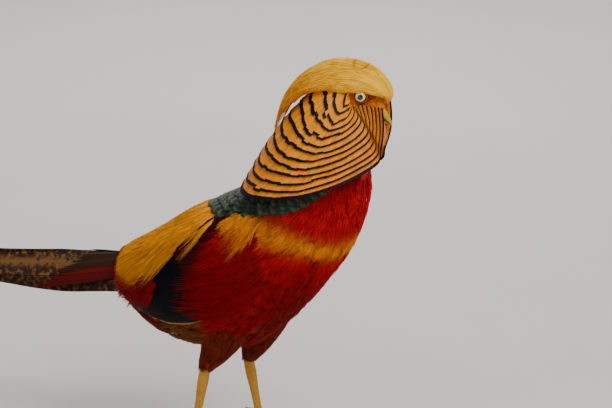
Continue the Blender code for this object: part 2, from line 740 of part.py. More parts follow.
def make_tail():
    """Nine tail feathers on each side of a ridge, the central ones longest and on top, and the red coverts."""
    rings = []
    for at, drop, share in TAIL_CORE:
        top = tail_roof(at, np.array([-19, -10, -4, 4, 10, 19]) * share)
        top[:, 0] = top[:, 0].min()
        low = top[::-1] * [1, 0.45, 1] - [0, 0, TAIL_DEPTH]
        rings.append(np.concatenate([top - [0, 0, drop], low]))
    tail = loft("tail", rings, "tail_brown")
    pieces = []
    for sign in (-1, 1):
        for k, reach in enumerate(RECTRICES):
            inner = RECTRIX_INNER[0] + (RECTRIX_INNER[1] - RECTRIX_INNER[0]) * k / (len(RECTRICES) - 1)
            lift = -RECTRIX_STEP * k
            ends = (8, sign * (inner + RECTRIX_HALF)), (reach, sign * (inner + RECTRIX_HALF))
            shape = dict(blunt=2.5, rings=3 + reach // 100, step=(0.5, 0.5), swell=30 / reach, keel=sign)
            pieces.append(vane(tail_roof, *ends, RECTRIX_HALF, (lift, lift), **shape))
        for k in range(COVERTS):
            ends = (8, sign * (3 + 3.1 * k)), (62 + 9 * k, sign * (6.5 + 4.6 * k))
            pieces.append(vane(tail_roof, *ends, 2.2, (1.1, 2.6), blunt=1.6, step=(0.5, 0.5)))
    return combine(tail, pieces)


def make_leg(name, sign):
    """Thigh, shank with its spur, and foot with its claws, on one side."""
    hip, ankle, joint = (np.array(p, float) for p in LEGS[name])
    body = trunk_solid("cut", 0.5, 8, 24, 36, GAP * 2, "scarlet")
    fall = np.linspace(0, 1, len(THIGH_RADII))[:, None]
    line = hip + (ankle - hip) * fall + np.array([THIGH_BOW, 0, 0]) * np.sin(math.pi * fall)
    thigh = tube(f"thigh_{name}", line, THIGH_RADII, "maroon", 14, THIGH_FLAT)
    combine(thigh, [body], "DIFFERENCE")
    down = unit(joint - ankle)
    shank = np.linspace(0, 1, len(TARSUS_RADII))[:, None]
    tarsus = tube(f"tarsus_{name}", ankle - down * 3 + (joint + down * 3 - ankle) * shank, TARSUS_RADII, "leg", 10)
    clear_of(tarsus, thigh)
    root = ankle + (joint - ankle) * SPUR_AT
    back = unit(np.array([-1.0, -sign * 0.45, 0.25]))
    grow = np.array([0, 0.3, 0.55, 0.8, 1])[:, None]
    spur_line = root + back * (3.2 + SPUR_LENGTH) * grow + np.array([0, 0, 1.5]) * grow**2
    spur = tube(f"spur_{name}", spur_line, [2.6, 2.3, 1.7, 1.0, 0.25], "claw", 8)
    clear_of(spur, tarsus)
    foot = make_foot(name, sign, joint)
    clear_of(foot, tarsus)


def toe_line(joint, heading, length, radius):
    """Centre line of one toe: down from the joint to the floor and out along it."""
    run = np.array([0.0, 0.12, 0.28, 0.46, 0.73, 1.0])
    rest = radius - TOE_SUNK
    height = rest + (joint[2] - 1.5 - rest) * (1 - ease(run / 0.42))
    way = np.array([math.cos(heading), math.sin(heading), 0])
    return joint * [1, 1, 0] + run[:, None] * length * way + height[:, None] * [0, 0, 1], way


def make_foot(name, sign, joint):
    """Four toes joined at the joint, flat underneath, each with its own claw."""
    bpy.ops.mesh.primitive_uv_sphere_add(segments=8, ring_count=5, radius=1, location=(joint - [0, 0, 1]) * MM)
    foot = bpy.context.object
    placed(foot, BIRD)
    foot.name = f"foot_{name}"
    foot.data.materials.append(material("leg"))
    foot.scale = np.array([6.2, 5.6, 6.4]) * MM
    bpy.ops.object.transform_apply(location=True, rotation=False, scale=True)
    toes = []
    for toe, (angle, length, radius, claw) in TOES.items():
        line, way = toe_line(joint, -sign * angle, length, radius)
        share = np.linspace(0, 1, len(line))
        girth = radius * (1.05 - 0.32 * share + 0.05 * np.cos(share * 6 * math.pi))
        line[2:, 2] = girth[2:] - TOE_SUNK
        toes.append(tube("toe", line, girth, "leg", 8))
        grow = np.linspace(0, 1, 5)[:, None]
        rise = girth[-1] - TOE_SUNK
        nail = line[-1] + way * (GAP + claw * np.sin(grow * 1.25) / math.sin(1.25))
        nail[:, 2] = rise + 0.7 * np.sin(grow[:, 0] * math.pi) - (rise - 0.75) * grow[:, 0] ** 2
        width = (rise - 0.6) * (1 - grow[:, 0] ** 1.4) + 0.3
        tube(f"claw_{toe}_{name}", nail, width, "claw", 6, 0.8)
    combine(foot, toes)
    bpy.ops.mesh.primitive_cube_add(size=1, location=(joint[0] * MM, joint[1] * MM, -0.01))
    floor = bpy.context.object
    floor.scale = (0.2, 0.2, 0.02)
    bpy.ops.object.transform_apply(location=True, rotation=False, scale=True)
    return combine(foot, [floor], "DIFFERENCE")


def shade_smooth(sharpest=math.radians(40)):
    """Shades round forms smooth and keeps edges sharper than an angle."""
    for item in bpy.data.collections[BIRD].objects:
        item.data.shade_smooth()
        item.data.set_sharp_from_angle(angle=sharpest)


def settle_on_floor():
    """Moves every part so that the origin is the bottom centre of the bird's box."""
    bpy.context.view_layer.update()
    solids = [o for o in bpy.context.scene.objects if o.type == "MESH"]
    corners = np.array([tuple(o.matrix_world @ v.co) for o in solids for v in o.data.vertices])
    low, high = corners.min(0), corners.max(0)
    shift = (-(low[0] + high[0]) / 2, -(low[1] + high[1]) / 2, -low[2])
    for item in solids:
        item.location = [a + b for a, b in zip(item.location, shift)]


def main():
    clear_scene()
    make_torso()
    make_neck()
    eyes = [eye_ball(f"eye_{name}", sign, EYE_RADIUS) for name, sign in SIDES.items()]
    make_head(make_bill(), eyes)
    for name, sign in SIDES.items():
        make_wing(name=f"wing_{name}", sign=sign)
        make_leg(name, sign)
    make_tail()
    shade_smooth()
    settle_on_floor()


if __name__ == "__main__":
    main()
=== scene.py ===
"""The looks of a golden pheasant cock at life size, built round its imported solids.

One skin stands for the flesh of trunk, neck, head and thighs, and every feather is thin mesh laid on it.
Shapes are worked out in millimetres, in a frame where z = 0 is the floor and x = 0 lies between the feet.
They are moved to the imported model's place as each mesh is made.
"""

import math

import bmesh
import bpy
import numpy as np
from bpy.props import FloatProperty, FloatVectorProperty, PointerProperty
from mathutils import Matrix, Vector


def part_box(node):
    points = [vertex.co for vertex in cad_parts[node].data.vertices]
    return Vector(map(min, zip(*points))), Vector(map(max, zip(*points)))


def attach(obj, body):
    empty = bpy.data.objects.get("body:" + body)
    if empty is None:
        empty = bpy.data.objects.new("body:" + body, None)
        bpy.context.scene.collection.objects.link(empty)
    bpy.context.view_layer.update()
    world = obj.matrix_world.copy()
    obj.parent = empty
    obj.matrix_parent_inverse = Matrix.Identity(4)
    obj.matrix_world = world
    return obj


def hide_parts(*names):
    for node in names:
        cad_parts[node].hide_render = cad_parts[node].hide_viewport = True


bl_info = {
    "name": "Golden Pheasant",
    "version": (1, 0, 0),
    "blender": (4, 5, 0),
    "location": "View3D > Sidebar > Pheasant",
    "description": "Builds the skin, feathers, eyes, bill and feet of a golden pheasant cock",
    "category": "Add Mesh",
}

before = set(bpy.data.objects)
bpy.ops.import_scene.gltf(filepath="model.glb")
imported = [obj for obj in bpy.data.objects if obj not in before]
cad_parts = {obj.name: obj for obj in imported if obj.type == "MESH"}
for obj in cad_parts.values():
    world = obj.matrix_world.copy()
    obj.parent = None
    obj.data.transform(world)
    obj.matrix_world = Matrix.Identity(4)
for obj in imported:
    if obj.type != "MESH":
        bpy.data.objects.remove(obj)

MM = 0.001
SIDES = {"right": -1, "left": 1}

# Trunk stations from the tail root to the top of the neck: back x, back z, belly x, belly z, half width.
TRUNK = (
    (-101, 163, -101, 141, 9),
    (-91, 170, -88, 122, 24),
    (-67, 185, -62, 105, 38),
    (-41, 203, -31, 98, 46),
    (-15, 219, 12, 102, 50),
    (7, 231, 46, 128, 51),
    (28, 243, 74, 161, 49),
    (46, 256, 96, 193, 43),
    (57, 270, 109, 229, 34),
    (64, 284, 112, 259, 27),
    (70, 297, 118, 282, 22),
)
# How far down from back to belly the trunk is widest, as a share.
WIDEST_DOWN = 0.46
NECK_CORE = 15.0

# The skull's middle, its turn to the bird's left and its bend down, and its ellipsoids: centre and radii.
HEAD = np.array([104.0, 6.5, 317.0])
HEAD_YAW = math.radians(17)
HEAD_PITCH = math.radians(-31)
SKULL = (
    ((-9, 0, 2), (22, 14.6, 16)),
    ((7, 0, -4), (14, 9.8, 10)),
    ((11, 0, -5), (9, 6.2, 6.5)),
    ((-4, 0, -9), (16, 12.5, 12)),
)
SKULL_MIDDLE = np.array([-4.0, 0.0, -3.0])
EYE_OUT = 9.7
EYE_RADIUS = 6.0
LID_OUT = 4.0
LID_RADIUS = 4.75
LID_THICK = 0.75

# The bill along the skull's forward line, and the heights of its edges at root and tip.
BILL_ROOT = 12.0
BILL_TIP = 32.6
BILL_LOWER_TIP = 30.4
BILL_HALF = 4.9
CULMEN = (-1.4, -10.3)
MOUTH = (-7.4, -10.2)
CHIN = (-10.8, -11.2)
BILL_STATIONS = 60
BILL_ARCH = 25

# Crest stations from the forehead to the hanging tip: forward, up, half width, drop at the sides.
CREST = (
    (20, -9, 4, 4),
    (23.5, -2, 9, 9),
    (20.5, 8, 13, 15),
    (11, 18.2, 15.5, 21),
    (-1, 23.6, 17, 24),
    (-13, 25.2, 17.5, 25),
    (-25, 23.8, 17, 24),
    (-37, 18.4, 16, 20.5),
    (-47.5, 11, 14, 16.5),
    (-56, 0.5, 11.5, 12),
    (-62.5, -13, 8, 9),
    (-67.5, -34, 3, 3),
)
CREST_WRAP = math.radians(80)

# Fan rows of the cape from its front edge to the nape: root, rim, and how far it bulges between them.
CAPE = (
    (("head", -4, 11.5, -7), ("head", 17.5, 16.5, -7), 1.0),
    (("head", -5, 12.5, -7.5), ("head", 18.5, 18.5, -22), 2.0),
    (("head", -6, 13.5, -7.5), ("head", 17, 21.5, -37), 3.0),
    (("head", -7, 14.3, -7), ("head", 12.5, 22, -49), 4.0),
    (("head", -8, 15, -6), ("body", 103, 37, 258), 5.0),
    (("head", -9, 15.3, -2), ("body", 76, 50, 249), 6.5),
    (("head", -11, 15, 4), ("body", 44, 51, 241), 7.0),
    (("head", -15, 13, 9), ("body", 22, 37, 236.5), 8.0),
    (("head", -19, 9, 13), ("body", 12.5, 18, 235), 9.0),
    (("head", -21, 0, 15), ("body", 9, 0, 235), 9.0),
)
CAPE_MIDDLE = np.array([88.0, 2.0, 0.0])
CAPE_SKEW = 0.35
CAPE_LEFT = 2.0
CAPE_TIERS = 13
CAPE_COLUMNS = 58
CAPE_OVERLAP = 2.2
BAR_WIDTH = 1.9

# The tail's heading turns by a smooth step from the first angle to the second, once it has run straight.
TAIL_ROOT = np.array([-100.9, 0.0, 161.0])
TAIL_LENGTH = 660
TAIL_STRAIGHT = 60
TAIL_BEND = 320
TAIL_PITCH = (math.radians(-9), math.radians(10))
TAIL_YAW = (0.0, math.radians(27))
TAIL_SLOPE = math.radians(52)
TAIL_RIDGE = 7.0

# Hip, ankle and toe joint of each leg, and each toe's angle inwards, length, girth and claw.
LEGS = {
    "right": ((8, -21, 136), (-17, -24, 82), (-31, -24, 8.5)),
    "left": ((18, 20, 136), (0, 20, 78), (14, 20, 8.5)),
}
THIGH_RADII = (24, 22, 19.5, 16.5, 13, 9.5, 5.5)
THIGH_BOW = 3
TARSUS_RADII = (4.2, 4.4, 3.6, 3.2, 3.2, 3.6, 4.2)
TOES = {
    "middle": (math.radians(2), 45, 3.3, 9.5),
    "inner": (math.radians(38), 32, 3.0, 8.5),
    "outer": (math.radians(-35), 36, 3.0, 8.5),
    "hind": (math.radians(172), 14, 2.6, 6.5),
}
TOE_SUNK = 0.35
SPUR_AT = 0.62
SPUR_LENGTH = 8
SHANK_SCUTES = 17
TOE_SCALE = 2.4
CLAW_BEND = 1.25

# Cross sections of what lies on the skin: across from -1 to 1 and height, going round.
BARB = ((-1, 0), (0, 1), (1, 0))
VANE = ((-1, 0), (-0.5, 0.75), (0, 1.15), (0.5, 0.75), (1, 0), (0, -0.6))
# Vanes are shaded sharp where their faces meet at more than this many degrees.
VANE_SHARP = 55

# How many feathers each coat has, and the seeds of the random draws.
COUNTS = {
    "breast": 900,
    "belly": 900,
    "vent": 400,
    "flank": 470,
    "fan": 250,
    "back": 1250,
    "rump": 400,
    "cape_down": 650,
    "throat": 650,
    "crest": 3000,
    "face": 1100,
    "thigh": 400,
    "tail_covert": 26,
}
SEEDS = {
    "breast": 11,
    "belly": 12,
    "vent": 13,
    "flank": 21,
    "fan": 31,
    "mantle": 41,
    "back": 51,
    "rump": 61,
    "wing": 71,
    "cape": 81,
    "cape_down": 82,
    "throat": 91,
    "crest": 101,
    "face": 111,
    "thigh": 121,
    "tail": 131,
}

# The trunk chart's range, which its coats' bake maps are spread over.
TRUNK_SPAN = ((0, 10), (-180, 180))

LENS_SENSOR = 36
FLOOR_HALF = 6


# Surfaces


def spline(table, at):
    """Catmull-Rom through a table's rows: a cubic between each two, with slopes from their neighbours."""
    rows = np.asarray(table, float)
    at = np.clip(np.asarray(at, float), 0, len(rows) - 1)
    low = np.minimum(at.astype(int), len(rows) - 2)
    f = (at - low)[..., None]
    p0, p1 = rows[np.maximum(low - 1, 0)], rows[low]
    p2, p3 = rows[low + 1], rows[np.minimum(low + 2, len(rows) - 1)]
    return 0.5 * (
        2 * p1 + (p2 - p0) * f + (2 * p0 - 5 * p1 + 4 * p2 - p3) * f**2 + (3 * p1 - p0 - 3 * p2 + p3) * f**3
    )


def unit(vectors):
    """Vectors divided by their lengths."""
    return vectors / np.maximum(np.linalg.norm(vectors, axis=-1, keepdims=True), 1e-9)


def ease(x):
    """Smooth step: 3x² - 2x³ between 0 and 1."""
    x = np.clip(x, 0, 1)
    return x * x * (3 - 2 * x)


def table(x, pairs):
    """Straight lines between pairs of place and value."""
    places, values = zip(*pairs)
    return np.interp(x, places, values)


def slopes(chart, u, v, step=0.02):
    """How a chart's point moves with each of its two numbers."""
    along = (chart(u + step, v) - chart(u - step, v)) / (2 * step)
    across = (chart(u, v + step) - chart(u, v - step)) / (2 * step)
    return along, across


def lifted(chart, u, v, lift, step=0.02):
    """Points of a chart raised along its outward normal, which is along × across."""
    u, v, lift = np.broadcast_arrays(*(np.asarray(x, float) for x in (u, v, lift)))
    along, across = slopes(chart, u, v, step)
    normal = unit(np.cross(along, across))
    return chart(u, v) + normal * lift[..., None], normal


def trunk(at, angle):
    """The trunk: half ellipses over and under a widest line.

    at counts the stations from the tail, and angle is degrees from the spine to the bird's left.
    """
    angle = np.radians(angle)
    row = spline(TRUNK, at)
    zero = np.zeros_like(row[..., 0])
    back = np.stack([row[..., 0], zero, row[..., 1]], -1)
    belly = np.stack([row[..., 2], zero, row[..., 3]], -1)
    centre = back + WIDEST_DOWN * (belly - back)
    depth = np.linalg.norm(belly - back, axis=-1)
    up = (back - belly) / depth[..., None]
    rise = np.where(np.cos(angle) > 0, WIDEST_DOWN, 1 - WIDEST_DOWN) * depth * np.cos(angle)
    return centre + up * rise[..., None] + np.stack([zero, row[..., 4] * np.sin(angle), zero], -1)


def head_level(points):
    """From the head's level frame (forward, left, up) to the body's: a turn about the vertical."""
    c, s = math.cos(HEAD_YAW), math.sin(HEAD_YAW)
    return HEAD + np.asarray(points, float) @ np.array([[c, s, 0], [-s, c, 0], [0, 0, 1]])


def head_local(points):
    """From the body's frame back to the head's level frame."""
    c, s = math.cos(HEAD_YAW), math.sin(HEAD_YAW)
    return (points - HEAD) @ np.array([[c, -s, 0], [s, c, 0], [0, 0, 1]])


def head_bent(points):
    """From the skull's own frame, bent down with the bill, to the body's."""
    c, s = math.cos(HEAD_PITCH), math.sin(HEAD_PITCH)
    return head_level(np.asarray(points, float) @ np.array([[c, 0, s], [0, 1, 0], [-s, 0, c]]))


def skull(polar, turn):
    """The skull: the farthest reach of its ellipsoids from one middle point, as a tenth-power mean.

    polar is degrees from the bill backwards, and turn is degrees round that line, with 0 on top.
    """
    polar, turn = np.radians(polar), np.radians(turn)
    ways = np.stack([np.cos(polar), -np.sin(polar) * np.sin(turn), np.sin(polar) * np.cos(turn)], -1)
    total = np.zeros(ways.shape[:-1])
    for centre, radii in SKULL:
        offset = (SKULL_MIDDLE - np.array(centre)) / radii
        way = ways / radii
        a = (way**2).sum(-1)
        b = (way * offset).sum(-1)
        inside = b * b - a * ((offset**2).sum() - 1)
        reach = (-b + np.sqrt(np.maximum(inside, 0))) / a
        total += np.where(inside > 0, np.maximum(reach, 0), 0) ** 10
    return head_bent(SKULL_MIDDLE + ways * (total**0.1)[..., None])


def crest(at, across):
    """The crest: an arch of sections hung from a line over the head. across runs from -1 left to 1 right."""
    at = np.asarray(at, float)
    row = spline(CREST, at)
    step = unit((spline(CREST, at + 0.05) - spline(CREST, at - 0.05))[..., :2])
    inward = np.stack([-step[..., 1], step[..., 0]], -1)
    turn = np.asarray(across) * CREST_WRAP
    flat = row[..., :2] + inward * (row[..., 3] * (1 - np.cos(turn)))[..., None]
    return head_level(np.stack([flat[..., 0], -row[..., 2] * np.sin(turn), flat[..., 1]], -1))


def cape_table():
    """Root, rim and bulge of every fan row, from the left front edge round the nape to the right one."""

    def place(entry, sign):
        base, x, y, z = entry
        x = x + CAPE_LEFT * (sign > 0 and x > 10)
        return head_level([x, sign * y, z]) if base == "head" else np.array([x, sign * y, z])

    left = [np.concatenate([place(root, 1), place(rim, 1), [bulge]]) for root, rim, bulge in CAPE]
    right = [np.concatenate([place(root, -1), place(rim, -1), [bulge]]) for root, rim, bulge in CAPE[-2::-1]]
    return np.array(left + right)


CAPE_ROWS = cape_table()
CAPE_LAST = len(CAPE_ROWS) - 1


def cape(down, row):
    """The cape: a line from root to rim for each fan row, bowed out as a parabola, fuller on top."""
    both = spline(CAPE_ROWS, row)
    root, rim, bulge = both[..., :3], both[..., 3:6], both[..., 6:]
    down = np.asarray(down, float)[..., None]
    outward = (root + rim) / 2 - CAPE_MIDDLE
    outward[..., 2] = 0
    fuller = 4 * down * (1 - down) * (1 + CAPE_SKEW * (1 - 2 * down))
    return root * (1 - down) + rim * down + unit(outward) * bulge * fuller


def throat(down, across):
    """The throat: a parabola bowed forwards between two lines on the cheeks; across runs right to left."""
    d, w = np.broadcast_arrays(np.asarray(down, float), np.asarray(across, float))
    fuller, side = 4 * d * (1 - d), 8 + 10 * np.sqrt(np.clip(d, 0, 1))
    x = 9 + 3 * fuller + (2 + 3 * fuller) * 4 * w * (1 - w)
    return head_level(np.stack([x, side * (2 * w - 1), -12 - 38 * d], -1))


def tail_line(length):
    """Centre line of the tail: a heading that turns smoothly, summed along its length."""
    length = np.asarray(length, float)
    steps = np.linspace(0, TAIL_LENGTH + 20, 400)
    bend = ease((steps - TAIL_STRAIGHT) / TAIL_BEND)
    pitch = TAIL_PITCH[0] + (TAIL_PITCH[1] - TAIL_PITCH[0]) * bend
    yaw = TAIL_YAW[0] + (TAIL_YAW[1] - TAIL_YAW[0]) * bend
    heading = np.stack([-np.cos(pitch) * np.cos(yaw), np.cos(pitch) * np.sin(yaw), np.sin(pitch)], -1)
    run = np.concatenate([[np.zeros(3)], np.cumsum(heading[:-1] * np.diff(steps)[:, None], 0)])
    centre = np.stack([np.interp(length, steps, run[:, k]) for k in range(3)], -1) + TAIL_ROOT
    forward = unit(np.stack([np.interp(length, steps, heading[:, k]) for k in range(3)], -1))
    side = unit(np.cross(forward, [0, 0, 1]))
    return centre, side, np.cross(side, forward)


def tail_roof(length, across):
    """The folded tail's top: a hyperbola over a ridge. across is millimetres down its slope to the right."""
    centre, side, up = tail_line(length)
    across = np.asarray(across, float)[..., None]
    fall = np.sqrt(across**2 + TAIL_RIDGE**2) - TAIL_RIDGE
    return centre - side * across * math.cos(TAIL_SLOPE) - up * fall * math.sin(TAIL_SLOPE)


def thigh_line(name):
    """Centre line and radius of a thigh, from the body to the ankle."""
    hip, ankle, _ = (np.array(p, float) for p in LEGS[name])

    def at(u):
        fall = np.asarray(u, float)[..., None]
        centre = hip + (ankle - hip) * fall + np.array([THIGH_BOW, 0, 0]) * np.sin(math.pi * fall)
        radius = spline(np.array(THIGH_RADII)[:, None], fall[..., 0] * (len(THIGH_RADII) - 1))
        return centre, radius

    return at


def thigh(name):
    """A thigh as a chart: rings round its line. u runs down it, and v is degrees round it."""
    line = thigh_line(name)

    def chart(u, v):
        centre, radius = line(u)
        turn = np.radians(v)
        ring = np.stack([np.cos(turn), 0.75 * np.sin(turn), np.zeros_like(turn)], -1)
        return centre + ring * radius

    return chart


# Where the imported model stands, from the right eye's place in both frames.
EYE_BOX = np.array([tuple(corner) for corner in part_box("eye_right")])
SHIFT = EYE_BOX.mean(0) - head_bent([0, -EYE_OUT, 0]) * MM


# Meshes


def paint(mesh, colours):
    """Stores a colour for each point, as the attribute Plumage."""
    layer = mesh.color_attributes.new("Plumage", "FLOAT_COLOR", "POINT")
    rgba = np.ones((len(mesh.vertices), 4), np.float32)
    rgba[:, :3] = np.asarray(colours, float).reshape(-1, 3)
    layer.data.foreach_set("color", rgba.ravel())


def outward(piece):
    """Turns a closed mesh's faces outwards."""
    edit = bmesh.new()
    edit.from_mesh(piece.data)
    bmesh.ops.recalc_face_normals(edit, faces=edit.faces)
    edit.to_mesh(piece.data)
    edit.free()


def round_grid(start, stop, rows, around):
    """Two arrays: rows of values between two ends, and in each row degrees all round."""
    return np.meshgrid(
        np.linspace(start, stop, rows), np.linspace(0, 360, around, endpoint=False), indexing="ij"
    )


def mesh_piece(name, points, faces, colours=None, maps=None, sharp=None):
    """A mesh object from points in millimetres and a list of face arrays, with point colours and UV maps."""
    mesh = bpy.data.meshes.new(name)
    points = np.asarray(points, float).reshape(-1, 3) * MM + SHIFT
    mesh.vertices.add(len(points))
    mesh.vertices.foreach_set("co", points.astype(np.float32).ravel())
    loops = np.concatenate([f.ravel() for f in faces]).astype(np.int32)
    sizes = np.concatenate([np.full(len(f), f.shape[1]) for f in faces])
    mesh.loops.add(len(loops))
    mesh.loops.foreach_set("vertex_index", loops)
    mesh.polygons.add(len(sizes))
    mesh.polygons.foreach_set("loop_start", np.concatenate([[0], np.cumsum(sizes)[:-1]]).astype(np.int32))
    mesh.update(calc_edges=True)
    for key, uv in (maps or {}).items():
        layer = mesh.uv_layers.new(name=key)
        layer.data.foreach_set("uv", np.asarray(uv, np.float32).reshape(-1, 2)[loops].ravel())
    if colours is not None:
        paint(mesh, colours)
    mesh.shade_smooth()
    if sharp:
        mesh.set_sharp_from_angle(angle=math.radians(sharp))
    made = bpy.data.objects.new(name, mesh)
    bpy.context.scene.collection.objects.link(made)
    return made


def plumes(
    chart, root, tip, section, half, lift, rings, taper, thick=0.3, curl=1.0, cup=0.0, bow=0.0, step=0.02
):
    """Feathers or barbs on a chart, each a section carried along a line from its root to its tip.

    The line rises from lift[0] to lift[1], as the share of its length to the power curl, and bows to the
    side as a half sine. The section's half width is half times taper of that share, and cup lowers its edges
    as a parabola.
    """
    root, tip = np.asarray(root, float), np.asarray(tip, float)
    share = np.linspace(0, 1, rings + 1)
    u = root[:, :1] + (tip[:, :1] - root[:, :1]) * share
    v = root[:, 1:] + (tip[:, 1:] - root[:, 1:]) * share
    low, high = (np.broadcast_to(np.asarray(x, float), len(root))[:, None] for x in lift)
    centre, normal = lifted(chart, u, v, low + (high - low) * share**curl, step)
    heading = unit(np.gradient(centre, axis=1))
    side = unit(np.cross(normal, heading))
    up = np.cross(heading, side)
    bows = np.broadcast_to(np.asarray(bow, float), len(root))[:, None, None]
    centre = centre + side * bows * np.sin(math.pi * share)[:, None]
    wide = np.broadcast_to(np.asarray(half, float), len(root))[:, None] * taper(share)
    x, h = np.array(section, float).T
    body = np.minimum(1, wide[..., None] / np.maximum(wide.max(), 1e-6) + 0.3)
    points = (
        centre[:, :, None]
        + side[:, :, None] * (wide[..., None] * x)[..., None]
        + up[:, :, None] * (h * thick * body - cup * x**2 * wide[..., None])[..., None]
    )
    length = np.linalg.norm(np.diff(centre, axis=1), axis=-1).sum(1)
    return {"points": points, "share": share, "x": x, "root": root, "length": length, "u": u, "v": v}


def hair(share):
    """A barb's width: full near the root, running out to a point."""
    return (1 - share) ** 0.7 * 0.98 + 0.02


def blade(share):
    """A rounded feather's width: quick to full, then a blunt end."""
    return (0.45 + 0.55 * ease(share / 0.4)) * np.sqrt(np.maximum(1 - share**6, 0)) * 0.97 + 0.03


def square(share):
    """A square-ended feather's width: spreading to full, with the last corner cut."""
    return (0.5 + 0.5 * ease(share / 0.7)) * (1 - 0.14 * (share > 0.99))


def spear(share):
    """A lance-shaped feather's width: full at a third, then a long point."""
    return (0.5 + 0.5 * ease(share / 0.3)) * (1 - share**2.2) ** 0.8 * 0.98 + 0.02


def laid(chart, row, ends, half, lift, rings, taper, columns=6, thick=0.25, step=0.01):
    """Feathers that follow a chart both ways, so that the ends of neighbours line up.

    Each is centred on a row and half wide in the chart's second number. ends(second number) gives where it
    starts and stops in the first. The height rises from lift[0] to lift[1] as the share to the power 1.5.
    """
    share, x = np.linspace(0, 1, rings + 1), np.linspace(-1, 1, columns)
    v = row[:, None, None] + half * taper(share)[:, None] * x
    start, stop = ends(v)
    u = start + (stop - start) * share[:, None]
    low, high = (np.broadcast_to(np.asarray(k, float), len(row))[:, None, None] for k in lift)
    top, normal = lifted(chart, u, v, low + (high - low) * share[:, None] ** 1.5, step)
    points = np.concatenate([top, (top - normal * thick)[:, :, ::-1]], 2)
    middle = columns // 2
    length = np.linalg.norm(np.diff(top[:, :, middle], axis=1), axis=-1).sum(1)
    root = np.stack([u[:, 0, middle], row], -1)
    around = np.concatenate([x, x[::-1]])
    return {"points": points, "share": share, "x": around, "root": root, "length": length}


def coat(name, groups, span, look, replaced=(), sharp=None):
    """One mesh of many groups of plumes. span is the chart's range, which the bake map spreads them over.

    Each group is what plumes() gives, with "colour" added: an array for each point of each ring.
    """
    points, faces, colours, vane_map, bake_map, start = [], [], [], [], [], 0
    (u0, u1), (v0, v1) = span
    for group in groups:
        block = group["points"]
        count, ringed, around = block.shape[:3]
        k = np.arange(ringed - 1)[:, None] * around
        j = np.arange(around)
        a, b = k + j, k + (j + 1) % around
        quads = np.stack([a, a + around, b + around, b], -1).reshape(-1, 4)
        caps = np.stack([j, (ringed - 1) * around + j[::-1]])
        offset = start + np.arange(count)[:, None, None] * (ringed * around)
        faces.append((quads[None] + offset).reshape(-1, 4))
        faces.append((caps[None] + offset).reshape(-1, around))
        start += count * ringed * around
        points.append(block.reshape(-1, 3))
        colours.append(np.broadcast_to(group["colour"], block.shape).reshape(-1, 3))
        x = np.broadcast_to(group["x"] * 0.5 + 0.5, block.shape[:3])
        along = np.broadcast_to(group["share"][None, :, None], block.shape[:3])
        from_tip = (1 - along) * group["length"][:, None, None] * 0.01
        vane_map.append(np.stack([x, from_tip], -1).reshape(-1, 2))
        place = (group["root"] - [u0, v0]) / [u1 - u0, v1 - v0] * 0.99
        bake_map.append((place[:, None, None] + 0.003 * np.stack([x, along], -1)).reshape(-1, 2))
    maps = {"OFBake": np.concatenate(bake_map), "Vane": np.concatenate(vane_map)}
    made = mesh_piece(name, np.concatenate(points), faces, np.concatenate(colours), maps, sharp)
    return dressed(made, look, replaced)


def dressed(piece, look, replaced=()):
    """Gives a piece its material and its place in the model."""
    piece.data.materials.clear()
    piece.data.materials.append(look)
    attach(piece, "root")
    if replaced:
        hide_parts(*replaced)
    return piece


def scatter(chart, us, vs, count, seed, keep=None):
    """Seeded random places on a chart, spread evenly by area and kept where keep says so."""
    rng = np.random.default_rng(seed)
    u = rng.uniform(*us, count * 8)
    v = rng.uniform(*vs, count * 8)
    along, across = slopes(chart, u, v)
    area = np.linalg.norm(np.cross(along, across), axis=-1)
    chosen = rng.uniform(0, np.percentile(area, 98), len(u)) < area
    if keep is not None:
        chosen &= keep(u, v)
    places = np.stack([u, v], -1)[chosen][:count]
    return places, rng


def travel(chart, places, length, turn=0.0):
    """Where lines of that length end that leave their places along the first number, turned aside."""
    along, across = slopes(chart, places[:, 0], places[:, 1])
    turn = np.radians(turn)
    du = np.cos(turn) * length / np.linalg.norm(along, axis=-1)
    dv = np.sin(np.abs(turn)) * np.sign(turn) * np.abs(length) / np.linalg.norm(across, axis=-1)
    return places + np.stack([du, dv], -1)


def fanned(chart, root, tip, half, barbs, rng, ragged=0.16):
    """Splits each feather into barbs that leave its root together and spread to its width at the tip."""
    across = np.linalg.norm(slopes(chart, root[:, 0], root[:, 1])[1], axis=-1)
    spread = np.linspace(-1, 1, barbs)
    f = (spread + rng.normal(0, 0.12, (len(root), barbs))).ravel()
    every = np.repeat(np.arange(len(root)), barbs)
    wide = (half / across)[every] if np.ndim(half) else half / across[every]
    shrink = 1 - 0.22 * f**2 - rng.uniform(0, ragged, len(f))
    start = root[every] + np.stack([np.zeros(len(f)), f * wide * 0.35], -1)
    end = root[every] + (tip - root)[every] * shrink[:, None] + np.stack([np.zeros(len(f)), f * wide], -1)
    return start, end, every


def mix(a, b, weight):
    """Between two colours, or arrays of them, by a weight array."""
    weight = np.asarray(weight, float)[..., None]
    return np.asarray(a, float) * (1 - weight) + np.asarray(b, float) * weight


def varied(colour, rng, count, amount=0.12):
    """A slightly lighter or darker version of a colour for each feather."""
    return np.asarray(colour, float) * (1 + rng.normal(0, amount, (count, 1))).clip(0.55, 1.5)


def shaded_towards_root(base, group, dark, gain):
    """Colours of a group's points: its feathers' own times a painted shade, dark at the root and dark + gain
    at the tip.
    """
    return (base * (dark + gain * group["share"][:, None]))[:, :, None]


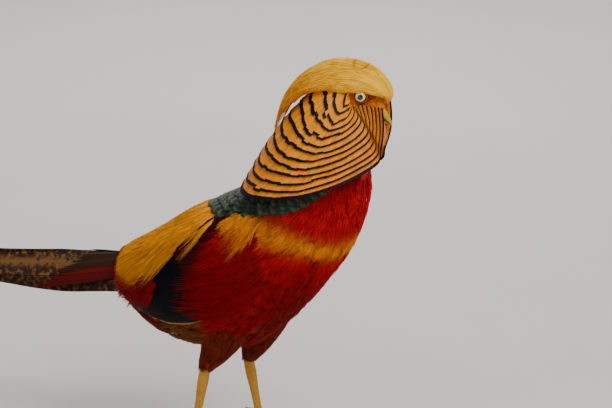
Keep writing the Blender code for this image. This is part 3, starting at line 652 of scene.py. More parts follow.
def tube_rings(centres, radii, sides=24, flat=1.0, under=None):
    """Rings round a line of centres: radius times cosine to the side and sine upwards, none below under."""
    heading = unit(np.gradient(centres, axis=0))
    guide = np.tile([0.0, 1.0, 0.0], (len(centres), 1))
    side = unit(guide - heading * (guide * heading).sum(-1, keepdims=True))
    up = np.cross(heading, side)
    turn = np.linspace(0, 2 * math.pi, sides, endpoint=False)
    radii = np.broadcast_to(np.asarray(radii, float), (sides, len(centres))).T
    rings = (
        centres[:, None]
        + side[:, None] * (radii * flat * np.cos(turn))[..., None]
        + up[:, None] * (radii * np.sin(turn))[..., None]
    )
    if under is not None:
        rings[..., 2] = np.maximum(rings[..., 2], under)
    return rings


def ring_faces(count, around):
    """Quads between rings of points, and a face over each end."""
    k, j = np.arange(count - 1)[:, None] * around, np.arange(around)
    a, b = k + j, k + (j + 1) % around
    quads = np.stack([a, a + around, b + around, b], -1).reshape(-1, 4)
    return [quads, np.stack([j, (count - 1) * around + j[::-1]])]


def lofted(name, rings, colours=None):
    """A closed surface through rings of equally many points, its faces turned outwards."""
    rings = np.asarray(rings, float)
    made = mesh_piece(name, rings.reshape(-1, 3), ring_faces(*rings.shape[:2]), colours)
    outward(made)
    return made


# Materials

LOOKS = {}


def sizes():
    """The sizes that a user may change."""
    return bpy.context.scene.pheasant_sizes


def shade(key):
    """One of the colours that a user may change, as three numbers."""
    return np.array(getattr(bpy.context.scene.pheasant_colours, key)[:3])


def new_group(name, inputs, outputs):
    """A shader node group with named sockets, built once; tells whether it is new."""
    found = bpy.data.node_groups.get(name)
    if found:
        return found, False
    made = bpy.data.node_groups.new(name, "ShaderNodeTree")
    for key, kind, value in inputs:
        socket = made.interface.new_socket(key, in_out="INPUT", socket_type=f"NodeSocket{kind}")
        if value is not None:
            socket.default_value = value
    for key, kind in outputs:
        made.interface.new_socket(key, in_out="OUTPUT", socket_type=f"NodeSocket{kind}")
    return made, True


def maths(tree, operation, a, b=None, clamp=False):
    """A Math node fed by sockets or numbers; returns its output."""
    node = tree.nodes.new("ShaderNodeMath")
    node.operation = operation
    node.use_clamp = clamp
    for socket, value in zip(node.inputs, (a, b)):
        if value is None:
            continue
        if hasattr(value, "is_output"):
            tree.links.new(value, socket)
        else:
            socket.default_value = value
    return node.outputs[0]


def blend_colour(tree, weight, a, b, kind="MIX"):
    """A colour Mix node; returns its result."""
    node = tree.nodes.new("ShaderNodeMix")
    node.data_type = "RGBA"
    node.blend_type = kind
    for socket, value in zip((node.inputs["Factor"], node.inputs[6], node.inputs[7]), (weight, a, b)):
        if hasattr(value, "is_output"):
            tree.links.new(value, socket)
        else:
            socket.default_value = value
    return node.outputs[2]


def noise(tree, vector, scale, detail=3.0, rough=0.55):
    """A Noise Texture's value at a place."""
    node = tree.nodes.new("ShaderNodeTexNoise")
    tree.links.new(vector, node.inputs["Vector"])
    node.inputs["Scale"].default_value = scale
    node.inputs["Detail"].default_value = detail
    node.inputs["Roughness"].default_value = rough
    return node.outputs["Fac"]


def barb_group():
    """Fine barbs: lines that leave the shaft and lean to the tip, as colour streaks and a height."""
    group, fresh = new_group(
        "feather_barbs",
        [
            ("Colour", "Color", None),
            ("Vane", "Vector", None),
            ("Spacing", "Float", 0.5),
            ("Slant", "Float", 3.0),
            ("Contrast", "Float", 0.3),
            ("Place", "Vector", None),
        ],
        [("Colour", "Color"), ("Height", "Float"), ("Roughness", "Float")],
    )
    if not fresh:
        return group
    take, give = group.nodes.new("NodeGroupInput"), group.nodes.new("NodeGroupOutput")
    split = group.nodes.new("ShaderNodeSeparateXYZ")
    group.links.new(take.outputs["Vane"], split.inputs[0])
    beside = maths(group, "ABSOLUTE", maths(group, "SUBTRACT", split.outputs["X"], 0.5))
    lean = maths(group, "MULTIPLY", beside, take.outputs["Slant"])
    along = maths(group, "MULTIPLY", split.outputs["Y"], 100.0)
    phase = maths(group, "DIVIDE", maths(group, "ADD", along, lean), take.outputs["Spacing"])
    wave = maths(group, "SINE", maths(group, "MULTIPLY", phase, 2 * math.pi))
    height = maths(group, "MULTIPLY", maths(group, "ADD", wave, 1.0), 0.5)
    cloud = noise(group, take.outputs["Place"], 900.0, 2.0)
    streak = maths(group, "ADD", maths(group, "MULTIPLY", height, 0.5), maths(group, "MULTIPLY", cloud, 0.5))
    weight = maths(group, "MULTIPLY", maths(group, "SUBTRACT", 1.0, streak), take.outputs["Contrast"])
    dark = blend_colour(group, 1.0, take.outputs["Colour"], (0.25, 0.22, 0.2, 1), "MULTIPLY")
    colour = blend_colour(group, weight, take.outputs["Colour"], dark)
    group.links.new(colour, give.inputs["Colour"])
    group.links.new(height, give.inputs["Height"])
    rough = maths(group, "ADD", 0.42, maths(group, "MULTIPLY", cloud, 0.25))
    group.links.new(rough, give.inputs["Roughness"])
    return group


def start_material(name):
    """A Principled material, with its tree, shader and object coordinates."""
    made = bpy.data.materials.new(name)
    made.use_nodes = True
    tree = made.node_tree
    shader = tree.nodes["Principled BSDF"]
    place = tree.nodes.new("ShaderNodeTexCoord").outputs["Object"]
    return made, tree, shader, place


def plumage_colour(tree):
    """The colour that is stored on the mesh's points."""
    node = tree.nodes.new("ShaderNodeAttribute")
    node.attribute_name = "Plumage"
    return node.outputs["Color"]


def vane_place(tree):
    """The place on a feather: 0 to 1 across, and a hundredth of the millimetres from its tip."""
    node = tree.nodes.new("ShaderNodeUVMap")
    node.uv_map = "Vane"
    return node.outputs["UV"]


def bumped(tree, shader, height, strength, distance):
    """Feeds a height to the shader through a Bump node."""
    node = tree.nodes.new("ShaderNodeBump")
    node.inputs["Strength"].default_value = strength
    node.inputs["Distance"].default_value = distance
    tree.links.new(height, node.inputs["Height"])
    tree.links.new(node.outputs["Normal"], shader.inputs["Normal"])


def feather_look(name, spacing=0.5, slant=3.0, contrast=0.3, bar=None, gloss=0.3):
    """A feather material: plumage colour, barbs, and with bar a dark bar before each feather's tip."""
    made, tree, shader, place = start_material(name)
    colour = plumage_colour(tree)
    vane = vane_place(tree)
    if bar:
        width, dark = bar
        split = tree.nodes.new("ShaderNodeSeparateXYZ")
        tree.links.new(vane, split.inputs[0])
        cloud = noise(tree, place, 1400.0, 1.0)
        ragged = maths(tree, "MULTIPLY", maths(tree, "SUBTRACT", cloud, 0.5), 0.006)
        edge = maths(tree, "SUBTRACT", width * 0.01, maths(tree, "ADD", split.outputs["Y"], ragged))
        mask = maths(tree, "MULTIPLY", edge, 700.0, clamp=True)
        colour = blend_colour(tree, mask, colour, dark)
    barbs = tree.nodes.new("ShaderNodeGroup")
    barbs.node_tree = barb_group()
    tree.links.new(colour, barbs.inputs["Colour"])
    tree.links.new(vane, barbs.inputs["Vane"])
    tree.links.new(place, barbs.inputs["Place"])
    barbs.inputs["Spacing"].default_value = spacing
    barbs.inputs["Slant"].default_value = slant
    barbs.inputs["Contrast"].default_value = contrast
    tree.links.new(barbs.outputs["Colour"], shader.inputs["Base Color"])
    tree.links.new(barbs.outputs["Roughness"], shader.inputs["Roughness"])
    bumped(tree, shader, barbs.outputs["Height"], 0.35, 0.0002)
    shader.inputs["Specular IOR Level"].default_value = gloss
    return made


def skin_look():
    """Skin and the short down on it: plumage colour, with pores and small warts as bump."""
    made, tree, shader, place = start_material("skin_and_down")
    cloud = noise(tree, place, 700.0, 4.0)
    dark = maths(tree, "MULTIPLY", cloud, 0.5)
    colour = blend_colour(tree, dark, plumage_colour(tree), (0.05, 0.01, 0.0, 1))
    tree.links.new(colour, shader.inputs["Base Color"])
    shader.inputs["Roughness"].default_value = 0.6
    shader.inputs["Specular IOR Level"].default_value = 0.15
    bumped(tree, shader, noise(tree, place, 1600.0, 2.0), 0.6, 0.0004)
    return made


def horn_look(name, colour, rough, streak):
    """Horn: a base colour, or the plumage colour, streaked along by stretched noise."""
    made, tree, shader, place = start_material(name)
    cloud = noise(tree, place, streak, 4.0)
    base = plumage_colour(tree) if colour is None else (*colour, 1)
    tone = blend_colour(tree, maths(tree, "MULTIPLY", cloud, 0.45), base, (0.12, 0.06, 0.01, 1))
    tree.links.new(tone, shader.inputs["Base Color"])
    uneven = maths(tree, "ADD", rough, maths(tree, "MULTIPLY", cloud, 0.2))
    tree.links.new(uneven, shader.inputs["Roughness"])
    bumped(tree, shader, cloud, 0.25, 0.0003)
    return made


def leg_look():
    """Scaled yellow leg skin: small cells darkened and sunk along their borders."""
    made, tree, shader, place = start_material("leg_scales")
    cells = tree.nodes.new("ShaderNodeTexVoronoi")
    cells.feature = "DISTANCE_TO_EDGE"
    cells.inputs["Scale"].default_value = 700.0
    tree.links.new(place, cells.inputs["Vector"])
    border = maths(tree, "MULTIPLY", cells.outputs["Distance"], 6.0, clamp=True)
    cloud = noise(tree, place, 160.0, 3.0)
    base = blend_colour(tree, cloud, (*shade("leg"), 1), (*(shade("leg") * [0.7, 0.55, 0.4]), 1))
    tone = blend_colour(tree, border, (*(shade("leg") * 0.35), 1), base)
    tree.links.new(tone, shader.inputs["Base Color"])
    shader.inputs["Roughness"].default_value = 0.45
    bumped(tree, shader, border, 0.5, 0.0004)
    return made


def tail_look():
    """Dark brown tail feathers with wavy cinnamon spots between black ones, and barbs."""
    made = feather_look("tail_vanes", 0.7, 8.0, 0.35, gloss=0.2)
    tree = made.node_tree
    barbs = next(n for n in tree.nodes if n.type == "GROUP")
    plain = barbs.inputs["Colour"].links[0].from_socket
    place = next(n for n in tree.nodes if n.type == "TEX_COORD").outputs["Object"]
    spots = noise(tree, place, 230.0, 3.0, 0.6)
    mask = maths(tree, "MULTIPLY", maths(tree, "SUBTRACT", spots, 0.5), 9.0, clamp=True)
    tone = blend_colour(tree, mask, plain, (*shade("cinnamon"), 1))
    black = maths(tree, "MULTIPLY", maths(tree, "SUBTRACT", 0.42, spots), 9.0, clamp=True)
    tree.links.new(blend_colour(tree, black, tone, (*shade("ink"), 1)), barbs.inputs["Colour"])
    return made


def eye_look():
    """A wet eye: plumage colour under a clear coat."""
    made, tree, shader, _ = start_material("wet_eye")
    tree.links.new(plumage_colour(tree), shader.inputs["Base Color"])
    shader.inputs["Roughness"].default_value = 0.08
    shader.inputs["Coat Weight"].default_value = 1.0
    shader.inputs["Coat Roughness"].default_value = 0.02
    return made


def make_looks():
    """Makes every material of the bird."""
    ink = (*shade("ink"), 1)
    LOOKS["body"] = feather_look("red_plumage", 0.6, 0.0, 0.35, gloss=0.12)
    LOOKS["gold"] = feather_look("golden_plumage", 0.6, 0.0, 0.3, gloss=0.15)
    LOOKS["crest"] = feather_look("silky_crest", 0.8, 0.0, 0.15, gloss=0.25)
    LOOKS["dome"] = feather_look("crest_under", 0.8, 0.0, 0.3, gloss=0.1)
    LOOKS["cape"] = feather_look("barred_cape", 0.45, 0.6, 0.15, bar=(BAR_WIDTH, ink), gloss=0.15)
    LOOKS["mantle"] = feather_look("green_mantle", 0.4, 3.0, 0.2, gloss=0.35)
    LOOKS["wing"] = feather_look("wing_vanes", 0.5, 6.0, 0.4, gloss=0.06)
    LOOKS["tail"] = tail_look()
    LOOKS["horn"] = horn_look("bill_horn", None, 0.28, 500.0)
    LOOKS["claw"] = horn_look("claw_horn", shade("claw"), 0.3, 400.0)
    LOOKS["leg"] = leg_look()
    LOOKS["eye"] = eye_look()
    LOOKS["skin"] = skin_look()


# Plumage


# Edges of the markings on the trunk: pairs of angle from the spine and station, or of station and angle.
MANTLE_EDGE = (
    (0, 3.85),
    (14, 3.95),
    (36, 4.55),
    (48, 5.4),
    (60, 6.15),
    (73, 6.75),
    (87, 7.25),
    (99, 7.8),
    (112, 8.3),
)
MANTLE_TIERS = 7
MANTLE_PITCH = 7.6
BELT = ((50, 5.6), (60, 5.7), (79, 6.0), (96, 6.35), (111, 6.6), (129, 6.82), (158, 7.0), (180, 7.1))
BELT_HALF = ((50, 0.33), (79, 0.36), (100, 0.26), (130, 0.19), (180, 0.2))
RUMP_EDGE = (
    (0.6, 78),
    (1.1, 85),
    (1.75, 94),
    (2.6, 86),
    (3.0, 76),
    (3.3, 65),
    (3.95, 45),
    (4.15, 37),
    (5, 22),
)


def body_colour(at, angle):
    """Plumage of the trunk by place: scarlet, yellow belt, golden back, dark mantle, olive vent and painted
    shade below.
    """
    side = np.abs((np.asarray(angle) + 180) % 360 - 180)
    colour = np.broadcast_to(shade("scarlet"), side.shape + (3,))
    # Painted shade: the lower sides and the belly are darkened towards the flank shadow red.
    low = ease((side - 95) / 60) * ease((6.9 - at) / 1.5)
    colour = mix(colour, shade("deep_red_and_shade"), 0.75 * low)
    gap = (at - table(side, BELT)) / table(side, BELT_HALF)
    belt = np.exp(-(gap**2)) * ease((side - 44) / 12)
    colour = mix(colour, shade("belt"), np.clip(belt * 1.1, 0, 1))
    vent = ease((3.8 - at) / 0.5) * ease((side - 108) / 10)
    colour = mix(colour, shade("vent"), vent * 0.9 * ease((at - 2.0) / 0.6))
    # Painted shade: darker still on the lower rear of the trunk, towards the tail's root.
    colour = mix(colour, shade("deep_red_and_shade") * 0.6, ease((2.6 - at) / 0.6) * ease((side - 84) / 16))
    gold = ease((table(at, RUMP_EDGE) - side) / 8) * ease((4.6 - at) / 0.5)
    colour = mix(colour, shade("back_gold"), gold)
    mantle = ease((at - table(side, MANTLE_EDGE)) / 0.2) * ease((112 - side) / 8)
    return mix(colour, shade("mantle"), mantle)


def head_colour(points):
    """Plumage of the head and neck by place in the head's level frame."""
    local = head_local(points)
    x, y, z = local[..., 0], np.abs(local[..., 1]), local[..., 2]
    colour = np.broadcast_to(shade("cape"), x.shape + (3,))
    colour = mix(colour, shade("crest"), ease((z - 4) / 5))
    patch = ((x + 1) / 11) ** 2 + ((z + 0.5) / 6.5) ** 2
    colour = mix(colour, shade("eye_skin"), ease((1.25 - patch) / 0.3) * ease((y - 5) / 3))
    return mix(colour, shade("throat"), ease((-11 - z) / 5) * ease((x - 2) / 6) * ease((11 - y) / 5))


def skin_surface():
    """The bird's one skin: trunk, neck, skull and thighs joined by a fine remesh, then smoothed."""
    inset = sizes().coat_depth
    at, angle = round_grid(0, 10, 70, 72)
    parts = [lofted("trunk_form", lifted(trunk, at, angle, -inset)[0])]
    polar, turn = round_grid(4, 176, 44, 48)
    parts.append(lofted("skull_form", lifted(skull, polar, turn, -0.3, 0.5)[0]))
    share = np.linspace(0, 1, 14)[:, None]
    spine = head_level([[-10, 0, -4]])[0] * (1 - share) + trunk(8.8, 90.0) * [1, 0, 1] * share
    neck = tube_rings(spine + share * [2, 0, 2], np.full(len(share), NECK_CORE), 32)
    parts.append(lofted("neck_form", neck))
    for name in SIDES:
        fall, ring = round_grid(0, 1, 24, 32)
        parts.append(lofted(f"thigh_form_{name}", lifted(thigh(name), fall, ring, -inset)[0]))
    skin = parts[0]
    with bpy.context.temp_override(active_object=skin, object=skin, selected_editable_objects=parts):
        bpy.ops.object.join()
    remesh = skin.modifiers.new("remesh", "REMESH")
    remesh.mode = "VOXEL"
    remesh.voxel_size = sizes().skin_voxel * MM
    smooth = skin.modifiers.new("smooth", "SMOOTH")
    smooth.iterations = 6
    graph = bpy.context.evaluated_depsgraph_get()
    skin.data = bpy.data.meshes.new_from_object(skin.evaluated_get(graph))
    skin.modifiers.clear()
    skin.name = "skin"
    return skin


def trunk_places(points):
    """Station and angle of points on the trunk, from the nearest of a fine grid of chart points."""
    at, angle = np.meshgrid(np.linspace(0, 10, 101), np.linspace(-180, 178, 180), indexing="ij")
    grid = trunk(at, angle).reshape(-1, 3).astype(np.float32)
    found = np.empty(len(points), int)
    for first in range(0, len(points), 4000):
        block = points[first : first + 4000].astype(np.float32)
        far = (grid**2).sum(1)[None] - 2 * block @ grid.T
        found[first : first + 4000] = far.argmin(1)
    return at.ravel()[found], angle.ravel()[found]


def make_skin():
    """The skin with its colours: the trunk's by chart place, blended into the head's and the legs'."""
    skin = skin_surface()
    mesh = skin.data
    flat = np.empty(len(mesh.vertices) * 3, np.float32)
    mesh.vertices.foreach_get("co", flat)
    points = (flat.reshape(-1, 3) - SHIFT) / MM
    colours = body_colour(*trunk_places(points))
    head = ease((points[:, 2] - 278) / 14)
    colours = mix(colours, head_colour(points), head)
    leg = ease((118 - points[:, 2]) / 12) * ease((60 - np.abs(points[:, 0])) / 10)
    colours = mix(colours, shade("thigh"), leg)
    for key in list(mesh.color_attributes):
        mesh.color_attributes.remove(key)
    paint(mesh, colours)
    mesh.shade_smooth()
    dressed(skin, LOOKS["skin"], ("torso", "head", "neck", "thigh_left", "thigh_right"))


def body_feathers(key, low, high):
    """Loose hair-like feathers over breast and belly, in fans of barbs that lie back along the trunk."""

    def keep(u, v):
        side = np.abs(v)
        on_back = side < table(u, RUMP_EDGE) - 6
        on_mantle = (u > table(side, MANTLE_EDGE) + 0.15) & (side < 108)
        return ~(on_back & (u < 4.6)) & ~on_mantle

    root, rng = scatter(trunk, (low, high), TRUNK_SPAN[1], COUNTS[key], SEEDS[key], keep)
    length = rng.uniform(12, 17, len(root)) * (0.6 + 0.4 * ease(root[:, 0] / 2))
    tip = travel(trunk, root, -length, rng.normal(0, 7, len(root)))
    tip[:, 0] = np.maximum(tip[:, 0], 0.02)
    half = rng.uniform(2.4, 3.4, len(root))
    start, end, every = fanned(trunk, root, tip, half, 6, rng)
    lift = (-0.8, rng.uniform(0.9, 1.9, len(root))[every])
    bow = rng.normal(0, 0.5, len(start))
    group = plumes(trunk, start, end, BARB, 0.62, lift, 4, hair, thick=0.35, curl=0.8, bow=bow)
    colour = varied(np.ones(3), rng, len(root), 0.13)[every][:, None] * body_colour(group["u"], group["v"])
    # Painted shade: each barb darkens towards its root, where the coat shades it.
    group["colour"] = shaded_towards_root(colour, group, 0.72, 0.4)
    coat(f"{key}_feathers", [group], TRUNK_SPAN, LOOKS["body"])


def make_breast():
    """Breast, belly and vent, each between two stations of the trunk."""
    body_feathers("breast", 5.6, 8.9)
    body_feathers("belly", 3.0, 5.6)
    body_feathers("vent", 0.15, 3.0)


def make_flank():
    """Long red plumes over the folded wing, with frayed tips that point back."""
    groups = []
    for sign in (-1, 1):
        rng = np.random.default_rng(SEEDS["flank"] + sign)
        count = COUNTS["flank"]
        across = rng.uniform(0, 1, count)
        root = np.stack([5.6 - 0.5 * across + rng.uniform(-0.8, 0.5, count), sign * (60 + 56 * across)], -1)
        reach = table(across, ((0, 4.2), (0.2, 3.75), (0.5, 3.25), (0.8, 3.2), (1, 3.5)))
        tip_at = reach + rng.uniform(-0.3, 0.9, count)
        tip = np.stack([tip_at, root[:, 1] - sign * rng.uniform(-5, 8, count)], -1)
        start, end, every = fanned(trunk, root, tip, rng.uniform(0.9, 2.2, count), 6, rng, 0.4)
        lift = (0.2, rng.uniform(3.8, 5.0, count)[every])
        bow = rng.normal(0, 1.0, len(start))
        group = plumes(trunk, start, end, BARB, 0.4, lift, 5, hair, thick=0.4, curl=0.35, bow=bow)
        base = varied(shade("scarlet") * 0.8, rng, count, 0.2)[every]
        # Painted shade: the lower plumes, nearer the belly, are blended towards the flank shadow red, and
        # each darkens to its root.
        base = mix(base, shade("deep_red_and_shade"), ease((across[every] - 0.1) / 0.5) * 0.45)
        group["colour"] = shaded_towards_root(base[:, None], group, 0.6, 0.6)
        groups.append(group)
    coat("flank_plumes", groups, TRUNK_SPAN, LOOKS["body"])


def make_fan():
    """The yellow fan at the shoulder: plumes from the belt's upper end, frayed over the wing."""
    groups = []
    for sign in (-1, 1):
        rng = np.random.default_rng(SEEDS["fan"] + sign)
        count = COUNTS["fan"]
        across = rng.uniform(0, 1, count)
        turn = 47 + 24 * across
        start = table(turn, ((47, 5.35), (60, 6.05), (82, 6.25)))
        root = np.stack([start - rng.uniform(0.0, 0.5, count), sign * turn], -1)
        tip_at = 4.75 + rng.uniform(-0.25, 0.8, count)
        tip = np.stack([tip_at, sign * (52 + 32 * across + rng.normal(0, 2, count))], -1)
        start, end, every = fanned(trunk, root, tip, rng.uniform(0.8, 1.8, count), 5, rng, 0.4)
        lift = (0.2, rng.uniform(3.9, 5.0, count)[every])
        bow = rng.normal(0, 0.8, len(start))
        group = plumes(trunk, start, end, BARB, 0.38, lift, 5, hair, thick=0.4, curl=0.4, bow=bow)
        yellow = mix(shade("belt") * [1, 1.25, 1], shade("scarlet"), 0.3 * across**2)
        base = varied(yellow, rng, count, 0.15)[every]
        # Painted shade: each plume darkens towards its root.
        group["colour"] = shaded_towards_root(base[:, None], group, 0.75, 0.4)
        groups.append(group)
    coat("shoulder_fan", groups, TRUNK_SPAN, LOOKS["gold"])


def make_mantle():
    """Scale-like dark green feathers with black rims, in rows that end on the mantle's edge."""
    rng = np.random.default_rng(SEEDS["mantle"])
    groups = []
    for tier in range(MANTLE_TIERS):
        back = tier * 0.36
        places = np.arange(-106, 106.1, MANTLE_PITCH) + (tier % 2) * MANTLE_PITCH / 2
        side = np.abs(places)
        edge = table(side, MANTLE_EDGE) + back * table(side, ((0, 1), (40, 0.9), (70, 0.42), (110, 0.3)))
        edge = edge - 0.12 + rng.normal(0, 0.03, len(places))
        inside = edge < MANTLE_EDGE[-1][1]
        places, side, edge = places[inside], side[inside], edge[inside]
        tip = np.stack([edge, places], -1)
        root = travel(trunk, tip, np.full(len(tip), 16.0))
        root[:, 0] = np.minimum(root[:, 0], 9)
        half = 4.6 * table(side, ((0, 0.85), (60, 1), (110, 0.8)))
        over_wing = ease((side - 16) / 24) * ease((84 - side) / 20)
        high = 1.5 - 0.1 * tier + 2.2 * over_wing * ease((6.6 - edge) / 0.8)
        group = plumes(trunk, root, tip, VANE, half, (0.0, high), 10, blade, thick=0.16, curl=1.2, cup=0.03)
        shape = group["points"].shape[:3]
        reach = np.sqrt(group["share"][None, :, None] ** 2 + (0.55 * group["x"]) ** 2)
        green = varied(shade("mantle_green"), rng, len(tip), 0.25)[:, None, None]
        band = np.broadcast_to(np.exp(-(((reach - 0.8) / 0.07) ** 2)), shape)
        core = mix(shade("mantle"), green, band)
        group["colour"] = mix(core, shade("ink"), np.broadcast_to(ease((reach - 0.86) / 0.05), shape))
        groups.append(group)
    coat("mantle_feathers", groups, TRUNK_SPAN, LOOKS["mantle"], sharp=VANE_SHARP)


def make_back():
    """Golden hair-like hackles from the spine, draped over the wings, red where they end behind."""
    rng = np.random.default_rng(SEEDS["back"])
    count = COUNTS["back"]
    at = rng.uniform(0.55, 4.75, count)
    wide = table(at, ((0.5, 66), (1.5, 70), (2.5, 62), (3.4, 48), (4.2, 38), (4.8, 48)))
    root = np.stack([at, rng.uniform(-1, 1, count) * wide], -1)
    side, sign = np.abs(root[:, 1]), np.sign(root[:, 1])
    root[:, 0] = np.minimum(root[:, 0], table(side, MANTLE_EDGE) - rng.uniform(0, 0.2, count))
    length = table(root[:, 0], ((0.5, 15), (1.5, 27), (3, 38), (4.8, 28))) * rng.uniform(0.75, 1.15, count)
    length = length * (1 + 0.45 * ease((side - 28) / 20) * ease((root[:, 0] - 0.9) / 0.8))
    lean = sign * table(side, ((0, 2), (20, 20), (45, 44), (70, 40)))
    tip = travel(trunk, root, -length, -lean)
    outside = root[:, 1] + np.abs(tip[:, 1] - root[:, 1]) * sign
    tip = np.stack([np.maximum(tip[:, 0], 0.05), outside], -1)
    start, end, every = fanned(trunk, root, tip, rng.uniform(1.2, 2.4, count), 6, rng, 0.4)
    over = 2.4 + 4.6 * ease((np.abs(tip[:, 1]) - 35) / 25) * ease((tip[:, 0] - 0.4) / 0.6)
    lift = (-0.5, (over + rng.uniform(-0.6, 0.8, count))[every])
    bow = rng.normal(0, 0.7, len(start))
    group = plumes(trunk, start, end, BARB, 0.5, lift, 4, hair, thick=0.4, curl=0.7, bow=bow)
    edge = table(group["u"], ((0.3, 66), (1.0, 74), (1.75, 84), (2.6, 92), (5, 100)))
    red = ease((np.abs(group["v"]) - edge + 4) / 10) + ease((0.75 - group["u"]) / 0.35)
    base = varied(shade("back_gold"), rng, count, 0.14)[every][:, None]
    # Painted shade: each hackle deepens to amber towards its root.
    deep = mix(base, shade("amber"), np.broadcast_to(0.55 * (1 - group["share"]), group["u"].shape))
    group["colour"] = mix(deep, shade("scarlet") * 0.8, np.clip(red, 0, 1))[:, :, None]
    coat("back_hackles", [group], TRUNK_SPAN, LOOKS["gold"])


def make_rump_border():
    """Red plumes at the rear edge of the back, over the wing tips and round the tail's root."""
    rng = np.random.default_rng(SEEDS["rump"])
    count = COUNTS["rump"]
    at = rng.uniform(0.35, 2.7, count)
    sign = np.where(rng.uniform(size=count) < 0.5, -1, 1)
    side = table(at, ((0.3, 72), (1.2, 82), (2, 84), (2.7, 76))) + rng.uniform(-10, 16, count)
    root = np.stack([at, sign * side], -1)
    length = rng.uniform(14, 24, count) * (0.5 + 0.5 * ease((at - 0.2) / 1.2))
    tip = travel(trunk, root, -length, -sign * rng.uniform(15, 55, count))
    outside = root[:, 1] + np.abs(tip[:, 1] - root[:, 1]) * sign
    tip = np.stack([np.maximum(tip[:, 0], 0.03), outside], -1)
    start, end, every = fanned(trunk, root, tip, rng.uniform(1.0, 2.0, count), 5, rng, 0.4)
    lift = (0.8, (3.0 + 4.0 * ease((tip[:, 0] - 0.4) / 0.8) + rng.uniform(-0.5, 1, count))[every])
    bow = rng.normal(0, 0.6, len(start))
    group = plumes(trunk, start, end, BARB, 0.5, lift, 5, hair, thick=0.4, curl=0.7, bow=bow)
    base = varied(mix(shade("scarlet"), shade("deep_red_and_shade"), 0.7), rng, count, 0.2)[every]
    # Painted shade: each plume darkens towards its root.
    group["colour"] = shaded_towards_root(base[:, None], group, 0.7, 0.5)
    coat("rump_plumes", [group], TRUNK_SPAN, LOOKS["body"])


# Wing tiers: how many, roots from and to, tips from and to (station and degrees), half width, lifts, colour.
WING = (
    (9, (3.4, 104), (3.7, 115), (1.5, 111), (2.6, 118), 4.3, (1.2, 2.6), "primary"),
    (10, (4.1, 52), (4.4, 102), (1.6, 92), (2.6, 109), 6.2, (1.4, 2.8), "tertial"),
    (9, (4.4, 44), (4.7, 98), (2.5, 70), (3.2, 104), 6.4, (1.4, 3.2), "tertial"),
    (10, (4.5, 40), (5.2, 98), (3.1, 56), (3.9, 104), 6.0, (1.4, 3.6), "wing_red"),
    (9, (4.9, 44), (5.4, 88), (3.8, 46), (4.6, 94), 5.6, (1.2, 3.8), "wing_red"),
)


def make_wings():
    """Folded wings, tier over tier: long primaries with buff edges, dark tertials and maroon coverts."""
    for name, sign in SIDES.items():
        rng = np.random.default_rng(SEEDS["wing"] + sign)
        groups = []
        for count, root_a, root_b, tip_a, tip_b, half, lift, key in WING:
            share = np.linspace(0, 1, count)[:, None]
            root = np.array(root_a) * (1 - share) + np.array(root_b) * share
            tip = np.array(tip_a) * (1 - share) + np.array(tip_b) * share
            tip = tip + rng.normal(0, 1, tip.shape) * [0.03, 0.5]
            root, tip = root * np.array([1, sign]), tip * np.array([1, sign])
            over = 1 - share[:, 0]
            lifts = (lift[0] + 0.3 * over, lift[1] + 0.5 * over)
            group = plumes(trunk, root, tip, VANE, half, lifts, 12, blade, thick=0.4, curl=0.8, cup=0.06)
            shape = group["points"].shape[:3]
            base = varied(shade(key), rng, count, 0.15)[:, None, None]
            if key == "primary":
                outer = np.broadcast_to(ease((-sign * group["x"] - 0.55) / 0.2), shape)
                base = mix(base, shade("buff_edge"), outer * (np.arange(count)[:, None, None] % 3 > 0))
            group["colour"] = np.broadcast_to(base, shape + (3,))
            groups.append(group)
        replaced = (f"wing_{name}",)
        coat(
            f"wing_feathers_{name}", groups, TRUNK_SPAN, LOOKS["wing"], replaced, VANE_SHARP
        )


def bar_count(row):
    """How many dark bars lie between rim and root: most at the sides, few at the short front edges."""
    side = np.abs(row - CAPE_LAST / 2)
    return table(side, ((0, 10.8), (2, 11.3), (4, 13), (5, 11.6), (6, 9.6), (7, 8), (8, 7), (9, 6.5)))


def rim_down(row):
    """Where the lowest tier ends: above the table's rim at the nape and below it at the sides."""
    side = np.abs(row - CAPE_LAST / 2)
    ends = ((0, 0.955), (1.5, 0.965), (3, 1.01), (4, 1.06), (5, 1.07), (6, 1.05), (7, 1.02), (9, 1.0))
    return table(side, ends)


def cape_tier(tier, rng):
    """One tier of square feathers that end on one line round the face, torn a little at the sides."""
    row = np.linspace(0.15, CAPE_LAST - 0.15, CAPE_COLUMNS) + (tier % 2) * 0.14 - 0.07
    row = row[tier < bar_count(row) - 0.3]
    torn = np.exp(-(((np.abs(row - CAPE_LAST / 2) - 3.4) / 1.0) ** 2))
    loose = rng.normal(0, 1, len(row)) * (0.0015 + 0.009 * torn) * (tier > 0)

    def ends(v):
        bars = bar_count(v)
        stop = rim_down(v) * (1 - tier / bars) + 0.008 * np.sin(v * 1.9 + tier * 2.1) * (tier > 0)
        stop = stop + loose[:, None, None]
        return stop - CAPE_OVERLAP / bars, stop

    high = 0.8 + 0.14 * (np.arange(len(row)) % 2) + rng.uniform(-0.04, 0.04, len(row))
    group = laid(cape, row, ends, 0.2, (-1.0, high), 9, square)
    pitch = group["length"] / CAPE_OVERLAP
    bar = (0.35 + 0.27 * pitch) * (1.5 if tier == 0 else 1) * rng.uniform(0.9, 1.1, len(row))
    base = varied(shade("cape"), rng, len(row), 0.07)[:, None, None]
    amber = 0.3 * tier / (CAPE_TIERS - 1) * np.ones(group["points"].shape[:3])
    streak = rng.uniform(0.72, 1.06, (len(row), 1, len(group["x"]), 1))
    tone = mix(base, shade("crest"), amber) * streak
    # Painted shade: each feather darkens towards its root, under the tier above.
    group["colour"] = tone * (0.8 + 0.25 * group["share"][None, :, None, None])
    group["length"] = group["length"] * BAR_WIDTH / bar
    return group


